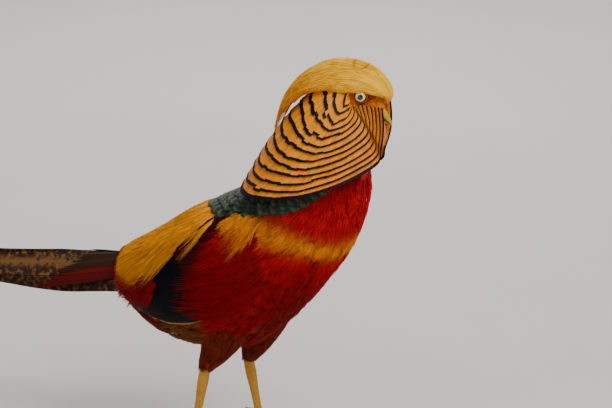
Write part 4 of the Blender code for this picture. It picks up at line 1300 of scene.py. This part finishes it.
def make_cape():
    """Square orange feathers in tiers; the blue-black bars at their ends ring the face."""
    rng = np.random.default_rng(SEEDS["cape"])
    groups = [cape_tier(tier, rng) for tier in range(CAPE_TIERS)]
    span = ((-0.6, 1.1), (-0.5, CAPE_LAST + 0.5))
    coat("cape_feathers", groups, span, LOOKS["cape"], sharp=VANE_SHARP)


def make_cape_lining():
    """Orange down under the cape, between it and the neck, darkened as painted shade."""
    rng = np.random.default_rng(SEEDS["cape_down"])
    row = rng.uniform(0.1, CAPE_LAST - 0.1, COUNTS["cape_down"])
    down = rng.uniform(0.0, 0.7, len(row))
    root = np.stack([down, row], -1)
    tip = np.stack([np.minimum(down + 0.28, 0.97), row + rng.normal(0, 0.1, len(row))], -1)
    start, end, every = fanned(cape, root, tip, 2.4, 4, rng, 0.2)
    group = plumes(cape, start, end, BARB, 0.7, (-2.6, -1.2), 3, hair, thick=0.4, step=0.01)
    # Painted shade: the down is coloured at about half the cape's brightness, for the shade under the cape.
    group["colour"] = varied(shade("cape") * 0.55, rng, len(row), 0.2)[every][:, None, None]
    span = ((-0.3, 1.05), (-0.5, CAPE_LAST + 0.5))
    coat("cape_down", [group], span, LOOKS["gold"])


def make_throat():
    """Peach feathers of chin and throat on a thin sheet, between the cape's front edges."""
    rng = np.random.default_rng(SEEDS["throat"])
    count = COUNTS["throat"]
    down, across = rng.uniform(0.02, 0.85, count), rng.uniform(0.02, 0.98, count)
    root = np.stack([down, across], -1)
    tip = root + np.stack([rng.uniform(0.13, 0.2, count), rng.normal(0, 0.02, count)], -1)
    start, end, every = fanned(throat, root, tip, 1.6, 4, rng, 0.2)
    group = plumes(throat, start, end, BARB, 0.5, (-0.8, 0.9), 3, hair, thick=0.3, step=0.01)
    colour = mix(shade("throat"), shade("scarlet"), ease((down - 0.6) / 0.15))
    group["colour"] = (colour * (1 + rng.normal(0, 0.1, (count, 1))))[every][:, None, None]
    fall, width = np.meshgrid(np.linspace(0.02, 1, 16), np.linspace(0, 1, 15), indexing="ij")
    outer = lifted(throat, fall, width, -0.6, 0.01)[0]
    inner = lifted(throat, fall, width, -2.0, 0.01)[0]
    rings = np.concatenate([outer, inner[:, ::-1]], 1)
    low = np.broadcast_to(ease((fall[:, :1] - 0.6) / 0.15), rings.shape[:2])
    piece = lofted("throat_skin", rings, mix(shade("throat"), shade("scarlet"), low))
    dressed(piece, LOOKS["skin"])
    coat("throat_feathers", [group], ((-0.3, 1.2), (-0.2, 1.2)), LOOKS["gold"])


def make_crest():
    """Long silky golden barbs over a smooth dome, from the forehead to the hanging tip."""
    rng = np.random.default_rng(SEEDS["crest"])
    at, across = np.meshgrid(np.linspace(0.25, 9.5, 60), np.linspace(-1, 1, 41), indexing="ij")
    deep = -0.9 - 2.2 * ease((at - 6) / 3.5)
    dome = lifted(crest, at, across, deep)[0]
    base = (dome[:, :1] + dome[:, -1:]) / 2 * 0.85 + dome * 0.15
    rings = np.concatenate([dome, base[:, ::-1]], 1)
    # Painted shade: the dome under the barbs is a fifth darker than the crest.
    colours = np.broadcast_to(shade("crest") * 0.8, rings.shape)
    dressed(lofted("crest_dome", rings, colours), LOOKS["dome"])
    count = COUNTS["crest"]
    front, behind = rng.uniform(0.15, 3.5, count // 2), rng.uniform(2.5, 7.3, count - count // 2)
    start_at = np.concatenate([front, behind])
    place = rng.uniform(-1, 1, count)
    length = rng.uniform(2.6, 4.2, count)
    end_at = np.minimum(start_at + length, 11.0 - 1.6 * np.abs(place) * rng.uniform(0, 1, count))
    root = np.stack([start_at, place], -1)
    narrower = 1 - 0.14 * ease((end_at - 5) / 5)
    tip = np.stack([end_at, place * narrower + rng.normal(0, 0.035, count)], -1)
    lift = (-1.1 - 2.0 * ease((start_at - 5.5) / 3), rng.uniform(-0.6, 0.7, count))
    bow = rng.normal(0, 0.5, count)
    group = plumes(crest, root, tip, BARB, 0.8, lift, 8, hair, thick=0.4, curl=0.7, bow=bow)
    u, v = group["u"], np.abs(group["v"])
    base = varied(shade("crest"), rng, count, 0.16)[:, None]
    amber = 0.9 * ease((u - 5.5) / 4) * (0.35 + 0.65 * v) + 0.25 * ease((v - 0.75) / 0.25)
    colour = mix(base, shade("amber"), np.clip(amber, 0, 1))
    brow = ease((1.6 - u) / 1.2) * 0.7 * (rng.uniform(size=(count, 1)) < 0.6)
    colour = mix(colour, shade("cape"), brow)
    group["colour"] = colour[:, :, None]
    coat("crest_plumes", [group], ((0, 12), (-1.1, 1.1)), LOOKS["crest"])


def make_face():
    """Very small feathers on cheeks, lores and crown, none on the bare skin round the eye."""

    def keep(polar, turn):
        local = head_local(skull(polar, turn))
        bare = ((local[:, 0] + 1) / 10) ** 2 + ((local[:, 2] + 0.5) / 6) ** 2 < 1
        return ~(bare & (np.abs(local[:, 1]) > 6)) & (polar > 20)

    root, rng = scatter(skull, (16, 120), (-180, 180), COUNTS["face"], SEEDS["face"], keep)
    tip = travel(skull, root, rng.uniform(2.6, 3.8, len(root)), rng.normal(0, 8, len(root)))
    start, end, every = fanned(skull, root, tip, 0.8, 4, rng, 0.2)
    group = plumes(skull, start, end, BARB, 0.28, (-0.3, 0.8), 3, hair, thick=0.2, step=0.5)
    base = head_colour(skull(root[:, 0], root[:, 1])) * (1 + rng.normal(0, 0.1, (len(root), 1)))
    group["colour"] = base[every][:, None, None]
    coat("face_feathers", [group], ((0, 180), (-180, 180)), LOOKS["gold"])


def make_thighs():
    """Dark brown-red hair-like feathers down both thighs to the ankle."""
    for name, sign in SIDES.items():
        chart = thigh(name)
        rng = np.random.default_rng(SEEDS["thigh"] + sign)
        count = COUNTS["thigh"]
        root = np.stack([rng.uniform(0.12, 0.9, count) ** 0.85, rng.uniform(-180, 180, count)], -1)
        tip = root + np.stack([rng.uniform(0.2, 0.3, count), rng.normal(0, 6, count)], -1)
        tip[:, 0] = np.minimum(tip[:, 0], 1.01)
        start, end, every = fanned(chart, root, tip, 2.2, 5, rng, 0.25)
        lift = (-0.8, 0.3 + 0.7 * ease((1.05 - end[:, 0]) / 0.3))
        group = plumes(chart, start, end, BARB, 0.42, lift, 4, hair, thick=0.35)
        base = varied(shade("thigh"), rng, count, 0.2)[every]
        # Painted shade: each feather darkens towards its root.
        group["colour"] = shaded_towards_root(base[:, None], group, 0.7, 0.5)
        coat(f"thigh_feathers_{name}", [group], ((0, 1.1), (-180, 180)), LOOKS["body"])


# Lengths of the tail's feathers, from the middle pair outwards.
RECTRICES = (650, 480, 380, 310, 255, 210, 175, 150, 130)
RECTRIX_HALF = 11.8


def rectrix(rng, sign, k, reach):
    """One long tail feather: it lies under the last one and farther down the ridge's slope."""
    inner = 0.4 + 14.5 * k / 8
    root = np.array([[2.0, sign * (inner + RECTRIX_HALF)]])
    tip = np.array([[reach, sign * (inner + RECTRIX_HALF * 0.25)]])
    lift = 0.5 - 1.15 * k

    def taper(share):
        return (0.7 + 0.3 * ease(share * reach / 60)) * np.sqrt(np.maximum(1 - share**2.4, 0)) * 0.99 + 0.01

    rings = 14 + reach // 12
    group = plumes(
        tail_roof, root, tip, VANE, RECTRIX_HALF, (lift, lift), rings, taper, thick=0.4, cup=0.03, step=0.5
    )
    shape = group["points"].shape[:3]
    shaft = np.broadcast_to(ease((0.16 - np.abs(group["x"])) / 0.1), shape)
    base = varied(shade("tail_brown"), rng, 1, 0.1)[:, None, None]
    group["colour"] = mix(np.broadcast_to(base, shape + (3,)), shade("buff_edge") * 0.5, shaft * 0.6)
    return group


def tail_covert_group(rng, sign):
    """Spear-shaped coverts over one side of the tail's root, dark red below and brown on top."""
    count = COUNTS["tail_covert"]
    place = rng.uniform(0, 1, count)
    root = np.stack([rng.uniform(0.5, 8, count), sign * (2 + 24 * place)], -1)
    tip = np.stack([34 + 50 * place * rng.uniform(0.5, 1, count), sign * (4 + 32 * place)], -1)
    lift = (0.8, rng.uniform(1.8, 3.6, count))
    half = rng.uniform(1.6, 2.6, count)
    group = plumes(
        tail_roof, root, tip, VANE, half, lift, 8, spear, thick=0.35, curl=0.8, cup=0.1, step=0.5
    )
    brown = 1 - ease((place - 0.45) / 0.25)
    base = varied(mix(shade("scarlet") * 0.16, shade("tail_brown"), brown), rng, count, 0.2)
    group["colour"] = base[:, None, None]
    return group


def make_tail():
    """Eighteen long folded feathers on a ridge, mottled with cinnamon, and red spear-shaped coverts."""
    rng = np.random.default_rng(SEEDS["tail"])
    groups = [rectrix(rng, sign, k, reach) for sign in (-1, 1) for k, reach in enumerate(RECTRICES)]
    span = ((0, 680), (-40, 40))
    coat("tail_feathers", groups, span, LOOKS["tail"], ("tail",), VANE_SHARP)
    groups = [tail_covert_group(rng, sign) for sign in (-1, 1)]
    coat("tail_coverts", groups, ((0, 680), (-60, 60)), LOOKS["body"], sharp=VANE_SHARP)


def make_eyeball(name, sign):
    """A sphere that swells at its cornea, with iris and pupil as colours by the angle from its axis."""
    polar, turn = round_grid(2, 178, 60, 64)
    p, t = np.radians(polar), np.radians(turn)
    out = np.stack([np.sin(p) * np.cos(t), sign * np.cos(p), np.sin(p) * np.sin(t)], -1)
    bulge = 1 + 0.05 * ease((26 - polar) / 22)
    rings = head_bent(out * (EYE_RADIUS * bulge)[..., None] + [0, sign * EYE_OUT, 0])
    fine = 1 + 0.12 * np.sin(turn / 360 * 2 * math.pi * 40) * ease((polar - 20) / 10)
    colour = np.broadcast_to(shade("iris"), rings.shape) * fine[..., None]
    colour = mix(colour, shade("iris") * [0.8, 0.6, 0.35], ease((polar - 31) / 6) * 0.7)
    colour = mix(colour, shade("pupil"), ease((22.5 - polar) / 1.5) + ease((polar - 38) / 1.5))
    dressed(lofted(f"eyeball_{name}", rings, colour), LOOKS["eye"], (f"eye_{name}",))


def make_lid_rim(name, sign):
    """A thin wavy torus round the eye, lower above and below it, and dark on its inner edge."""
    rings_at = np.linspace(0, 2 * math.pi, 72, endpoint=False)
    tubes_at = np.linspace(0, 2 * math.pi, 14, endpoint=False)
    ring, tube = np.meshgrid(rings_at, tubes_at, indexing="ij")
    radius = LID_RADIUS + LID_THICK * np.cos(tube) * (1 + 0.1 * np.sin(ring * 17))
    height = LID_OUT - 0.2 + LID_THICK * np.sin(tube) - 0.4 * np.abs(np.sin(ring)) ** 3
    x, z = radius * np.cos(ring) * 1.03, radius * np.sin(ring) * 0.95
    torus = np.stack([x, sign * (EYE_OUT + height), z], -1)
    around, tubes = ring.shape
    a = np.arange(around)[:, None] * tubes + np.arange(tubes)
    b = np.roll(a, -1, 0)
    faces = np.stack([a, b, np.roll(b, -1, 1), np.roll(a, -1, 1)], -1).reshape(-1, 4)
    dark = ease((4.9 - radius) / 0.5)
    colours = mix(np.broadcast_to(shade("eye_skin"), torus.shape), shade("pupil"), dark)
    lid = mesh_piece(f"lid_rim_{name}", head_bent(torus), [faces if sign < 0 else faces[:, ::-1]], colours)
    dressed(lid, LOOKS["skin"])


def make_eyes():
    """Eyeballs with iris, pupil and a wet cornea, and the thin rim of each lid."""
    for name, sign in SIDES.items():
        make_eyeball(name, sign)
        make_lid_rim(name, sign)


def mouth_line(s):
    """Height of the mouth's edge along the bill: a straight line and a cubic, weighed together."""
    return MOUTH[0] + (MOUTH[1] - MOUTH[0]) * (0.35 * s + 0.65 * s**3)


def bill_rings(tip, top, bottom, hump=None):
    """Half-round sections of the bill: the top follows a sine to the power 0.8 over a flat mouth edge."""
    s = np.linspace(0, 1, BILL_STATIONS)[:, None]
    x = BILL_ROOT + (tip - BILL_ROOT) * s
    high, low = top(s), bottom(s)
    half = BILL_HALF * (1 - s**1.6) ** 0.75 + 0.35
    turn = np.linspace(0, math.pi, BILL_ARCH)[None]
    rise = low + (high - low) * np.sin(turn) ** 0.8
    arch = np.stack(np.broadcast_arrays(x, half * np.cos(turn), rise), -1)
    flat = np.linspace(-0.85, 0.85, 9)[None]
    floor = np.stack(np.broadcast_arrays(x, half * flat, low), -1)
    rings = np.concatenate([arch, floor], 1)
    if hump is not None:
        rings = rings + hump(rings)
    return head_bent(rings)


def make_bill():
    """Both halves of the bill, with the mouth line, a pale swollen cere and the nostril under its flap."""
    share = (BILL_LOWER_TIP - BILL_ROOT) / (BILL_TIP - BILL_ROOT)

    def cere(rings):
        x, y, z = rings[..., 0], rings[..., 1], rings[..., 2]
        near = np.exp(-(((x - 18.5) / 3.0) ** 2) - ((z + 3.6) / 2.0) ** 2)
        pit = np.exp(-(((x - 19.8) / 1.5) ** 2) - ((z + 4.6) / 0.7) ** 2)
        return np.stack([0 * x, np.sign(y) * (0.7 * near - 1.5 * pit) * ease(np.abs(y) / 1.5), 0 * x], -1)

    upper = bill_rings(
        BILL_TIP,
        lambda s: CULMEN[0] + (CULMEN[1] + 0.7 - CULMEN[0]) * s**2.6,
        lambda s: mouth_line(s) - 1.1 * ease((s - 0.9) / 0.1),
        cere,
    )
    lower = bill_rings(
        BILL_LOWER_TIP,
        lambda s: CHIN[0] + (CHIN[1] - CHIN[0]) * s**2 - 0.9 * (1 - s),
        lambda s: mouth_line(s * share) - 0.45,
    )
    for name, rings in (("bill_upper", upper), ("bill_lower", lower)):
        s = np.broadcast_to(np.linspace(0, 1, BILL_STATIONS)[:, None], rings.shape[:2])
        x = BILL_ROOT + (BILL_TIP - BILL_ROOT) * s
        colour = np.broadcast_to(shade("bill"), rings.shape)
        colour = mix(colour, shade("cere"), ease((21.5 - x) / 2.5))
        # Painted shade: the edges where the halves meet are darkened along the mouth's crease.
        j = np.arange(rings.shape[1])
        edge = (j < 2) | (j > BILL_ARCH - 3)
        colour = mix(colour, shade("mouth"), np.broadcast_to(edge * 0.8, rings.shape[:2]))
        if name == "bill_upper":
            # Painted shade: the nostril's pit is darkened nearly black.
            last = BILL_ARCH - 1
            height = np.sin(np.pi * np.clip(j, 0, last) / last) ** 0.8
            pit = np.exp(-(((x - 19.8) / 1.6) ** 2)) * np.exp(-(((height - 0.5) / 0.17) ** 2)) * (j <= last)
            colour = mix(colour, shade("pupil"), np.clip(pit * 1.3, 0, 1))
        dressed(lofted(f"{name}_horn", rings, colour), LOOKS["horn"], (name,))


def shank_rings(ankle, joint):
    """The shank's rings: each scute swells as a square towards its lower edge."""
    down = unit(joint - ankle)
    s = np.linspace(0, 1, 150)
    line = ankle - down * 3 + (joint + down * 2 - ankle + down * 3) * s[:, None]
    radius = spline(np.array(TARSUS_RADII)[:, None], s * (len(TARSUS_RADII) - 1))[:, 0]
    scute = (s * SHANK_SCUTES) % 1
    return tube_rings(line, radius * (1 + 0.05 * (scute**2 - 0.3)), 32)


def toe_rings(joint, way, length, thick):
    """A toe's rings, its end and its girth there: it falls from the joint by a smooth step to lie flat."""
    run = np.linspace(0, 1, 90)
    girth = thick * (1.05 - 0.32 * run + 0.05 * np.cos(run * 6 * math.pi))
    rest = thick - TOE_SUNK
    falling = rest + (joint[2] - 1.5 - rest) * (1 - ease(run / 0.42))
    blend = ease((run - 0.2) / 0.12)
    height = falling * (1 - blend) + (girth - TOE_SUNK) * blend
    centre = joint * [1, 1, 0] + run[:, None] * length * way + height[:, None] * [0, 0, 1]
    scales = 1 + 0.05 * (((run * length / TOE_SCALE) % 1) ** 2 - 0.3)
    return tube_rings(centre, girth * scales, 24, under=0.0), centre[-1], girth[-1]


def make_claw(key, end, girth, way, length):
    """A claw: it runs on from the toe as a sine, rises a little, and falls to the floor as a square."""
    grow = np.linspace(0, 1, 30)
    rise = girth - TOE_SUNK
    nail = end * [1, 1, 0] + way * (length * np.sin(grow * CLAW_BEND) / math.sin(CLAW_BEND))[:, None]
    nail[:, 2] = rise + 0.7 * np.sin(grow * math.pi) - (rise - 0.75) * grow**2
    width = (rise - 0.6) * (1 - grow**1.4) + 0.3
    dressed(lofted(f"nail_{key}", tube_rings(nail, width, 16, 0.8)), LOOKS["claw"], (f"claw_{key}",))


def make_spur(name, sign, ankle, joint):
    """The spur on the shank's back: a line that bends up as a square and thins to its tip."""
    root = ankle + (joint - ankle) * SPUR_AT
    back = unit(np.array([-1.0, -sign * 0.45, 0.25]))
    grow = np.linspace(0, 1, 24)[:, None]
    spur = root + back * (3.2 + SPUR_LENGTH) * grow + np.array([0, 0, 1.5]) * grow**2
    width = np.interp(grow[:, 0], [0, 0.3, 0.55, 0.8, 1], [2.6, 2.3, 1.7, 1.0, 0.25])
    piece = lofted(f"spur_horn_{name}", tube_rings(spur, width, 16))
    dressed(piece, LOOKS["claw"], (f"spur_{name}",))


def make_legs():
    """Yellow shanks with scutes, jointed scaled toes, brown claws and a spur on each leg."""
    for name, sign in SIDES.items():
        _, ankle, joint = (np.array(p, float) for p in LEGS[name])
        tubes = [shank_rings(ankle, joint)]
        for toe, (angle, length, thick, claw) in TOES.items():
            way = np.array([math.cos(-sign * angle), math.sin(-sign * angle), 0])
            rings, end, girth = toe_rings(joint, way, length, thick)
            tubes.append(rings)
            make_claw(f"{toe}_{name}", end, girth, way, claw)
        points = np.concatenate([rings.reshape(-1, 3) for rings in tubes])
        faces, first = [], 0
        for rings in tubes:
            faces += [face + first for face in ring_faces(*rings.shape[:2])]
            first += rings.shape[0] * rings.shape[1]
        leg = mesh_piece(f"scaled_leg_{name}", points, faces)
        outward(leg)
        dressed(leg, LOOKS["leg"], (f"tarsus_{name}", f"foot_{name}"))
        make_spur(name, sign, ankle, joint)


# Stage


def area_light(name, place, aim, energy, size, colour=(1, 1, 1)):
    """A soft square light that points at a place."""
    light = bpy.data.lights.new(name, "AREA")
    light.energy, light.size, light.color = energy, size, colour
    made = bpy.data.objects.new(name, light)
    made.location = place
    made.rotation_euler = (aim - made.location).to_track_quat("-Z", "Y").to_euler()
    bpy.context.scene.collection.objects.link(made)


def make_camera(aim, back):
    """The photo's camera, back from its aim, with a lens that shows the view's width there."""
    s = sizes()
    lens = bpy.data.cameras.new("camera")
    lens.sensor_width = LENS_SENSOR
    lens.lens = LENS_SENSOR * s.camera_distance / s.camera_view
    lens.clip_start = 0.05
    lens.clip_end = 60
    camera = bpy.data.objects.new("camera", lens)
    camera.location = aim + back * s.camera_distance
    camera.rotation_euler = (-back).to_track_quat("-Z", "Y").to_euler()
    bpy.context.scene.collection.objects.link(camera)
    bpy.context.scene.camera = camera


def make_floor():
    """A flat pale square under the bird, clouded a little."""
    side = np.linspace(-FLOOR_HALF, FLOOR_HALF, 5)
    x, y = np.meshgrid(side, side, indexing="ij")
    points = (np.stack([x, y, 0 * x], -1).reshape(-1, 3) - SHIFT) / MM
    a = np.arange(4)[:, None] * 5 + np.arange(4)
    floor = mesh_piece("floor", points, [np.stack([a, a + 5, a + 6, a + 1], -1).reshape(-1, 4)])
    made, tree, shader, place = start_material("pale_floor")
    tone = blend_colour(tree, noise(tree, place, 3.0, 4.0), (0.62, 0.58, 0.54, 1), (0.7, 0.66, 0.62, 1))
    tree.links.new(tone, shader.inputs["Base Color"])
    shader.inputs["Roughness"].default_value = 0.85
    floor.data.materials.append(made)


def make_sky():
    """Pale light from all round."""
    world = bpy.data.worlds.new("studio")
    world.use_nodes = True
    sky = world.node_tree.nodes["Background"]
    sky.inputs["Color"].default_value = (0.9, 0.93, 1.0, 1)
    sky.inputs["Strength"].default_value = sizes().sky_light
    bpy.context.scene.world = world


def make_stage():
    """A flat pale floor, soft light from above, in front and behind, and the photo's camera."""
    s = sizes()
    aim = Vector(np.array([60.0, 0.0, 224.0]) * MM + SHIFT)
    az, el = math.radians(s.camera_azimuth), math.radians(s.camera_height)
    back = Vector((math.sin(az) * math.cos(el), -math.cos(az) * math.cos(el), math.sin(el)))
    right = Vector((math.cos(az), math.sin(az), 0))
    make_camera(aim, back)
    make_floor()
    key = aim + back * 1.2 + right + Vector((0, 0, 1.6))
    fill = aim + back * 1.6 - right * 1.6 + Vector((0, 0, 0.5))
    rim = aim - back * 1.6 + Vector((0, 0, 1.6))
    area_light("key", key, aim, s.key_light, 1.1, (1, 0.97, 0.92))
    area_light("fill", fill, aim, s.key_light * 0.3, 2.0, (0.9, 0.95, 1))
    area_light("rim", rim, aim, s.key_light * 0.45, 1.2)
    make_sky()


# Add-on


def size_property(name, description, default, unit="NONE"):
    """A number that can't be negative."""
    return FloatProperty(name=name, description=description, default=default, unit=unit, min=0)


class PheasantSizes(bpy.types.PropertyGroup):
    """Sizes that a user may change."""

    coat_depth: size_property("Coat Depth", "Skin under the solids, in millimetres", 1.6)
    skin_voxel: size_property("Skin Voxel", "Fineness of the skin, in millimetres", 1.5)
    camera_distance: size_property("Camera Distance", "From the camera to the bird", 2.0, "LENGTH")
    camera_view: size_property("View Width", "Width seen at the bird", 0.47077, "LENGTH")
    camera_azimuth: size_property("Camera Azimuth", "Degrees from the bird's right side", 25)
    camera_height: size_property("Camera Elevation", "Degrees above level", 18)
    key_light: size_property("Key Light", "Watts of the main light", 54, "POWER")
    sky_light: size_property("Sky Light", "Strength of the light all round", 0.34)


def colour_property(name, value):
    """A colour, with its name also in its description."""
    description = f"Colour of the {name.lower()}"
    return FloatVectorProperty(name=name, description=description, subtype="COLOR", default=value)


class PheasantColours(bpy.types.PropertyGroup):
    """Plumage and horn colours, linear."""

    crest: colour_property("Crest", (1.0, 0.53, 0.0))
    amber: colour_property("Amber Shade", (0.75, 0.19, 0.0))
    cape: colour_property("Cape", (0.95, 0.26, 0.0))
    ink: colour_property("Dark Bars", (0.001, 0.0015, 0.008))
    throat: colour_property("Throat", (0.9, 0.38, 0.16))
    eye_skin: colour_property("Skin Round The Eye", (0.45, 0.08, 0.005))
    iris: colour_property("Iris", (0.9, 0.78, 0.25))
    pupil: colour_property("Pupil", (0.004, 0.003, 0.003))
    bill: colour_property("Bill", (0.7, 0.42, 0.0))
    cere: colour_property("Cere", (0.62, 0.55, 0.42))
    # Painted shade along the crease where the bill's halves meet.
    mouth: colour_property("Mouth Line", (0.1, 0.05, 0.01))
    mantle: colour_property("Mantle Ground", (0.002, 0.006, 0.003))
    mantle_green: colour_property("Mantle Sheen", (0.06, 0.12, 0.02))
    back_gold: colour_property("Back", (0.95, 0.4, 0.0))
    scarlet: colour_property("Breast", (0.6, 0.0, 0.0))
    # Painted shade of the belly, lower flanks and rear underside, and the real deep red of the rump's
    # plumes.
    deep_red_and_shade: colour_property("Flank Shadow", (0.16, 0.0, 0.0))
    belt: colour_property("Breast Belt", (0.9, 0.27, 0.0))
    vent: colour_property("Vent", (0.16, 0.055, 0.005))
    wing_red: colour_property("Wing Coverts", (0.035, 0.0, 0.001))
    tertial: colour_property("Tertials", (0.0008, 0.0006, 0.003))
    primary: colour_property("Primaries", (0.008, 0.005, 0.004))
    buff_edge: colour_property("Buff Edges", (0.55, 0.28, 0.07))
    tail_brown: colour_property("Tail Ground", (0.03, 0.011, 0.004))
    cinnamon: colour_property("Tail Spots", (0.2, 0.075, 0.012))
    thigh: colour_property("Thighs", (0.22, 0.022, 0.003))
    leg: colour_property("Legs", (0.72, 0.36, 0.0))
    claw: colour_property("Claws", (0.24, 0.15, 0.06))


class PHEASANT_OT_looks(bpy.types.Operator):
    """Makes every material of the bird"""

    bl_idname = "pheasant.looks"
    bl_label = "Materials"

    def execute(self, context):
        make_looks()
        return {"FINISHED"}


class PHEASANT_OT_stage(bpy.types.Operator):
    """Adds the floor, lights and camera"""

    bl_idname = "pheasant.stage"
    bl_label = "Stage"

    def execute(self, context):
        make_stage()
        return {"FINISHED"}


class PHEASANT_OT_skin(bpy.types.Operator):
    """Makes the one skin under the feathers"""

    bl_idname = "pheasant.skin"
    bl_label = "Skin"

    def execute(self, context):
        make_skin()
        return {"FINISHED"}


class PHEASANT_OT_breast(bpy.types.Operator):
    """Adds the loose red feathers underneath"""

    bl_idname = "pheasant.breast"
    bl_label = "Breast and Belly"

    def execute(self, context):
        make_breast()
        return {"FINISHED"}


class PHEASANT_OT_flank(bpy.types.Operator):
    """Adds the long red plumes over the wings"""

    bl_idname = "pheasant.flank"
    bl_label = "Flank Plumes"

    def execute(self, context):
        make_flank()
        return {"FINISHED"}


class PHEASANT_OT_fan(bpy.types.Operator):
    """Adds the yellow plumes at the shoulders"""

    bl_idname = "pheasant.fan"
    bl_label = "Shoulder Fan"

    def execute(self, context):
        make_fan()
        return {"FINISHED"}


class PHEASANT_OT_mantle(bpy.types.Operator):
    """Adds the green scale-like feathers"""

    bl_idname = "pheasant.mantle"
    bl_label = "Mantle"

    def execute(self, context):
        make_mantle()
        return {"FINISHED"}


class PHEASANT_OT_back(bpy.types.Operator):
    """Adds the golden hackles of the back"""

    bl_idname = "pheasant.back"
    bl_label = "Back"

    def execute(self, context):
        make_back()
        make_rump_border()
        return {"FINISHED"}


class PHEASANT_OT_wings(bpy.types.Operator):
    """Adds the folded wings' feathers"""

    bl_idname = "pheasant.wings"
    bl_label = "Wings"

    def execute(self, context):
        make_wings()
        return {"FINISHED"}


class PHEASANT_OT_cape(bpy.types.Operator):
    """Adds the barred cape and its lining"""

    bl_idname = "pheasant.cape"
    bl_label = "Cape"

    def execute(self, context):
        make_cape()
        make_cape_lining()
        return {"FINISHED"}


class PHEASANT_OT_throat(bpy.types.Operator):
    """Adds the peach throat"""

    bl_idname = "pheasant.throat"
    bl_label = "Throat"

    def execute(self, context):
        make_throat()
        return {"FINISHED"}


class PHEASANT_OT_crest(bpy.types.Operator):
    """Adds the silky crest"""

    bl_idname = "pheasant.crest"
    bl_label = "Crest"

    def execute(self, context):
        make_crest()
        return {"FINISHED"}


class PHEASANT_OT_face(bpy.types.Operator):
    """Adds the face's small feathers"""

    bl_idname = "pheasant.face"
    bl_label = "Face"

    def execute(self, context):
        make_face()
        return {"FINISHED"}


class PHEASANT_OT_thighs(bpy.types.Operator):
    """Adds the thighs' feathers"""

    bl_idname = "pheasant.thighs"
    bl_label = "Thighs"

    def execute(self, context):
        make_thighs()
        return {"FINISHED"}


class PHEASANT_OT_tail(bpy.types.Operator):
    """Adds the tail and its coverts"""

    bl_idname = "pheasant.tail"
    bl_label = "Tail"

    def execute(self, context):
        make_tail()
        return {"FINISHED"}


class PHEASANT_OT_eyes(bpy.types.Operator):
    """Adds the eyes and their lids"""

    bl_idname = "pheasant.eyes"
    bl_label = "Eyes"

    def execute(self, context):
        make_eyes()
        return {"FINISHED"}


class PHEASANT_OT_bill(bpy.types.Operator):
    """Adds both halves of the bill"""

    bl_idname = "pheasant.bill"
    bl_label = "Bill"

    def execute(self, context):
        make_bill()
        return {"FINISHED"}


class PHEASANT_OT_legs(bpy.types.Operator):
    """Adds the scaled legs, claws and spurs"""

    bl_idname = "pheasant.legs"
    bl_label = "Legs"

    def execute(self, context):
        make_legs()
        return {"FINISHED"}


OPERATORS = (
    PHEASANT_OT_looks,
    PHEASANT_OT_stage,
    PHEASANT_OT_skin,
    PHEASANT_OT_breast,
    PHEASANT_OT_flank,
    PHEASANT_OT_fan,
    PHEASANT_OT_mantle,
    PHEASANT_OT_back,
    PHEASANT_OT_wings,
    PHEASANT_OT_cape,
    PHEASANT_OT_throat,
    PHEASANT_OT_crest,
    PHEASANT_OT_face,
    PHEASANT_OT_thighs,
    PHEASANT_OT_tail,
    PHEASANT_OT_eyes,
    PHEASANT_OT_bill,
    PHEASANT_OT_legs,
)


class PHEASANT_PT_panel(bpy.types.Panel):
    """Lists the bird's pieces, each with the button that builds it."""

    bl_label = "Golden Pheasant"
    bl_idname = "PHEASANT_PT_panel"
    bl_space_type = "VIEW_3D"
    bl_region_type = "UI"
    bl_category = "Pheasant"

    def draw(self, context):
        for kind in OPERATORS:
            self.layout.operator(kind.bl_idname)


CLASSES = (PheasantSizes, PheasantColours, *OPERATORS, PHEASANT_PT_panel)


def register():
    """Makes the classes known, and gives every scene its sizes and colours."""
    for kind in CLASSES:
        bpy.utils.register_class(kind)
    bpy.types.Scene.pheasant_sizes = PointerProperty(type=PheasantSizes)
    bpy.types.Scene.pheasant_colours = PointerProperty(type=PheasantColours)


def unregister():
    """Undoes register, in reverse."""
    del bpy.types.Scene.pheasant_sizes
    del bpy.types.Scene.pheasant_colours
    for kind in reversed(CLASSES):
        bpy.utils.unregister_class(kind)


def main():
    """Builds every piece in order."""
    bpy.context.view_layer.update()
    register()
    for kind in OPERATORS:
        getattr(bpy.ops.pheasant, kind.bl_idname.split(".")[1])()


if __name__ == "__main__":
    main()
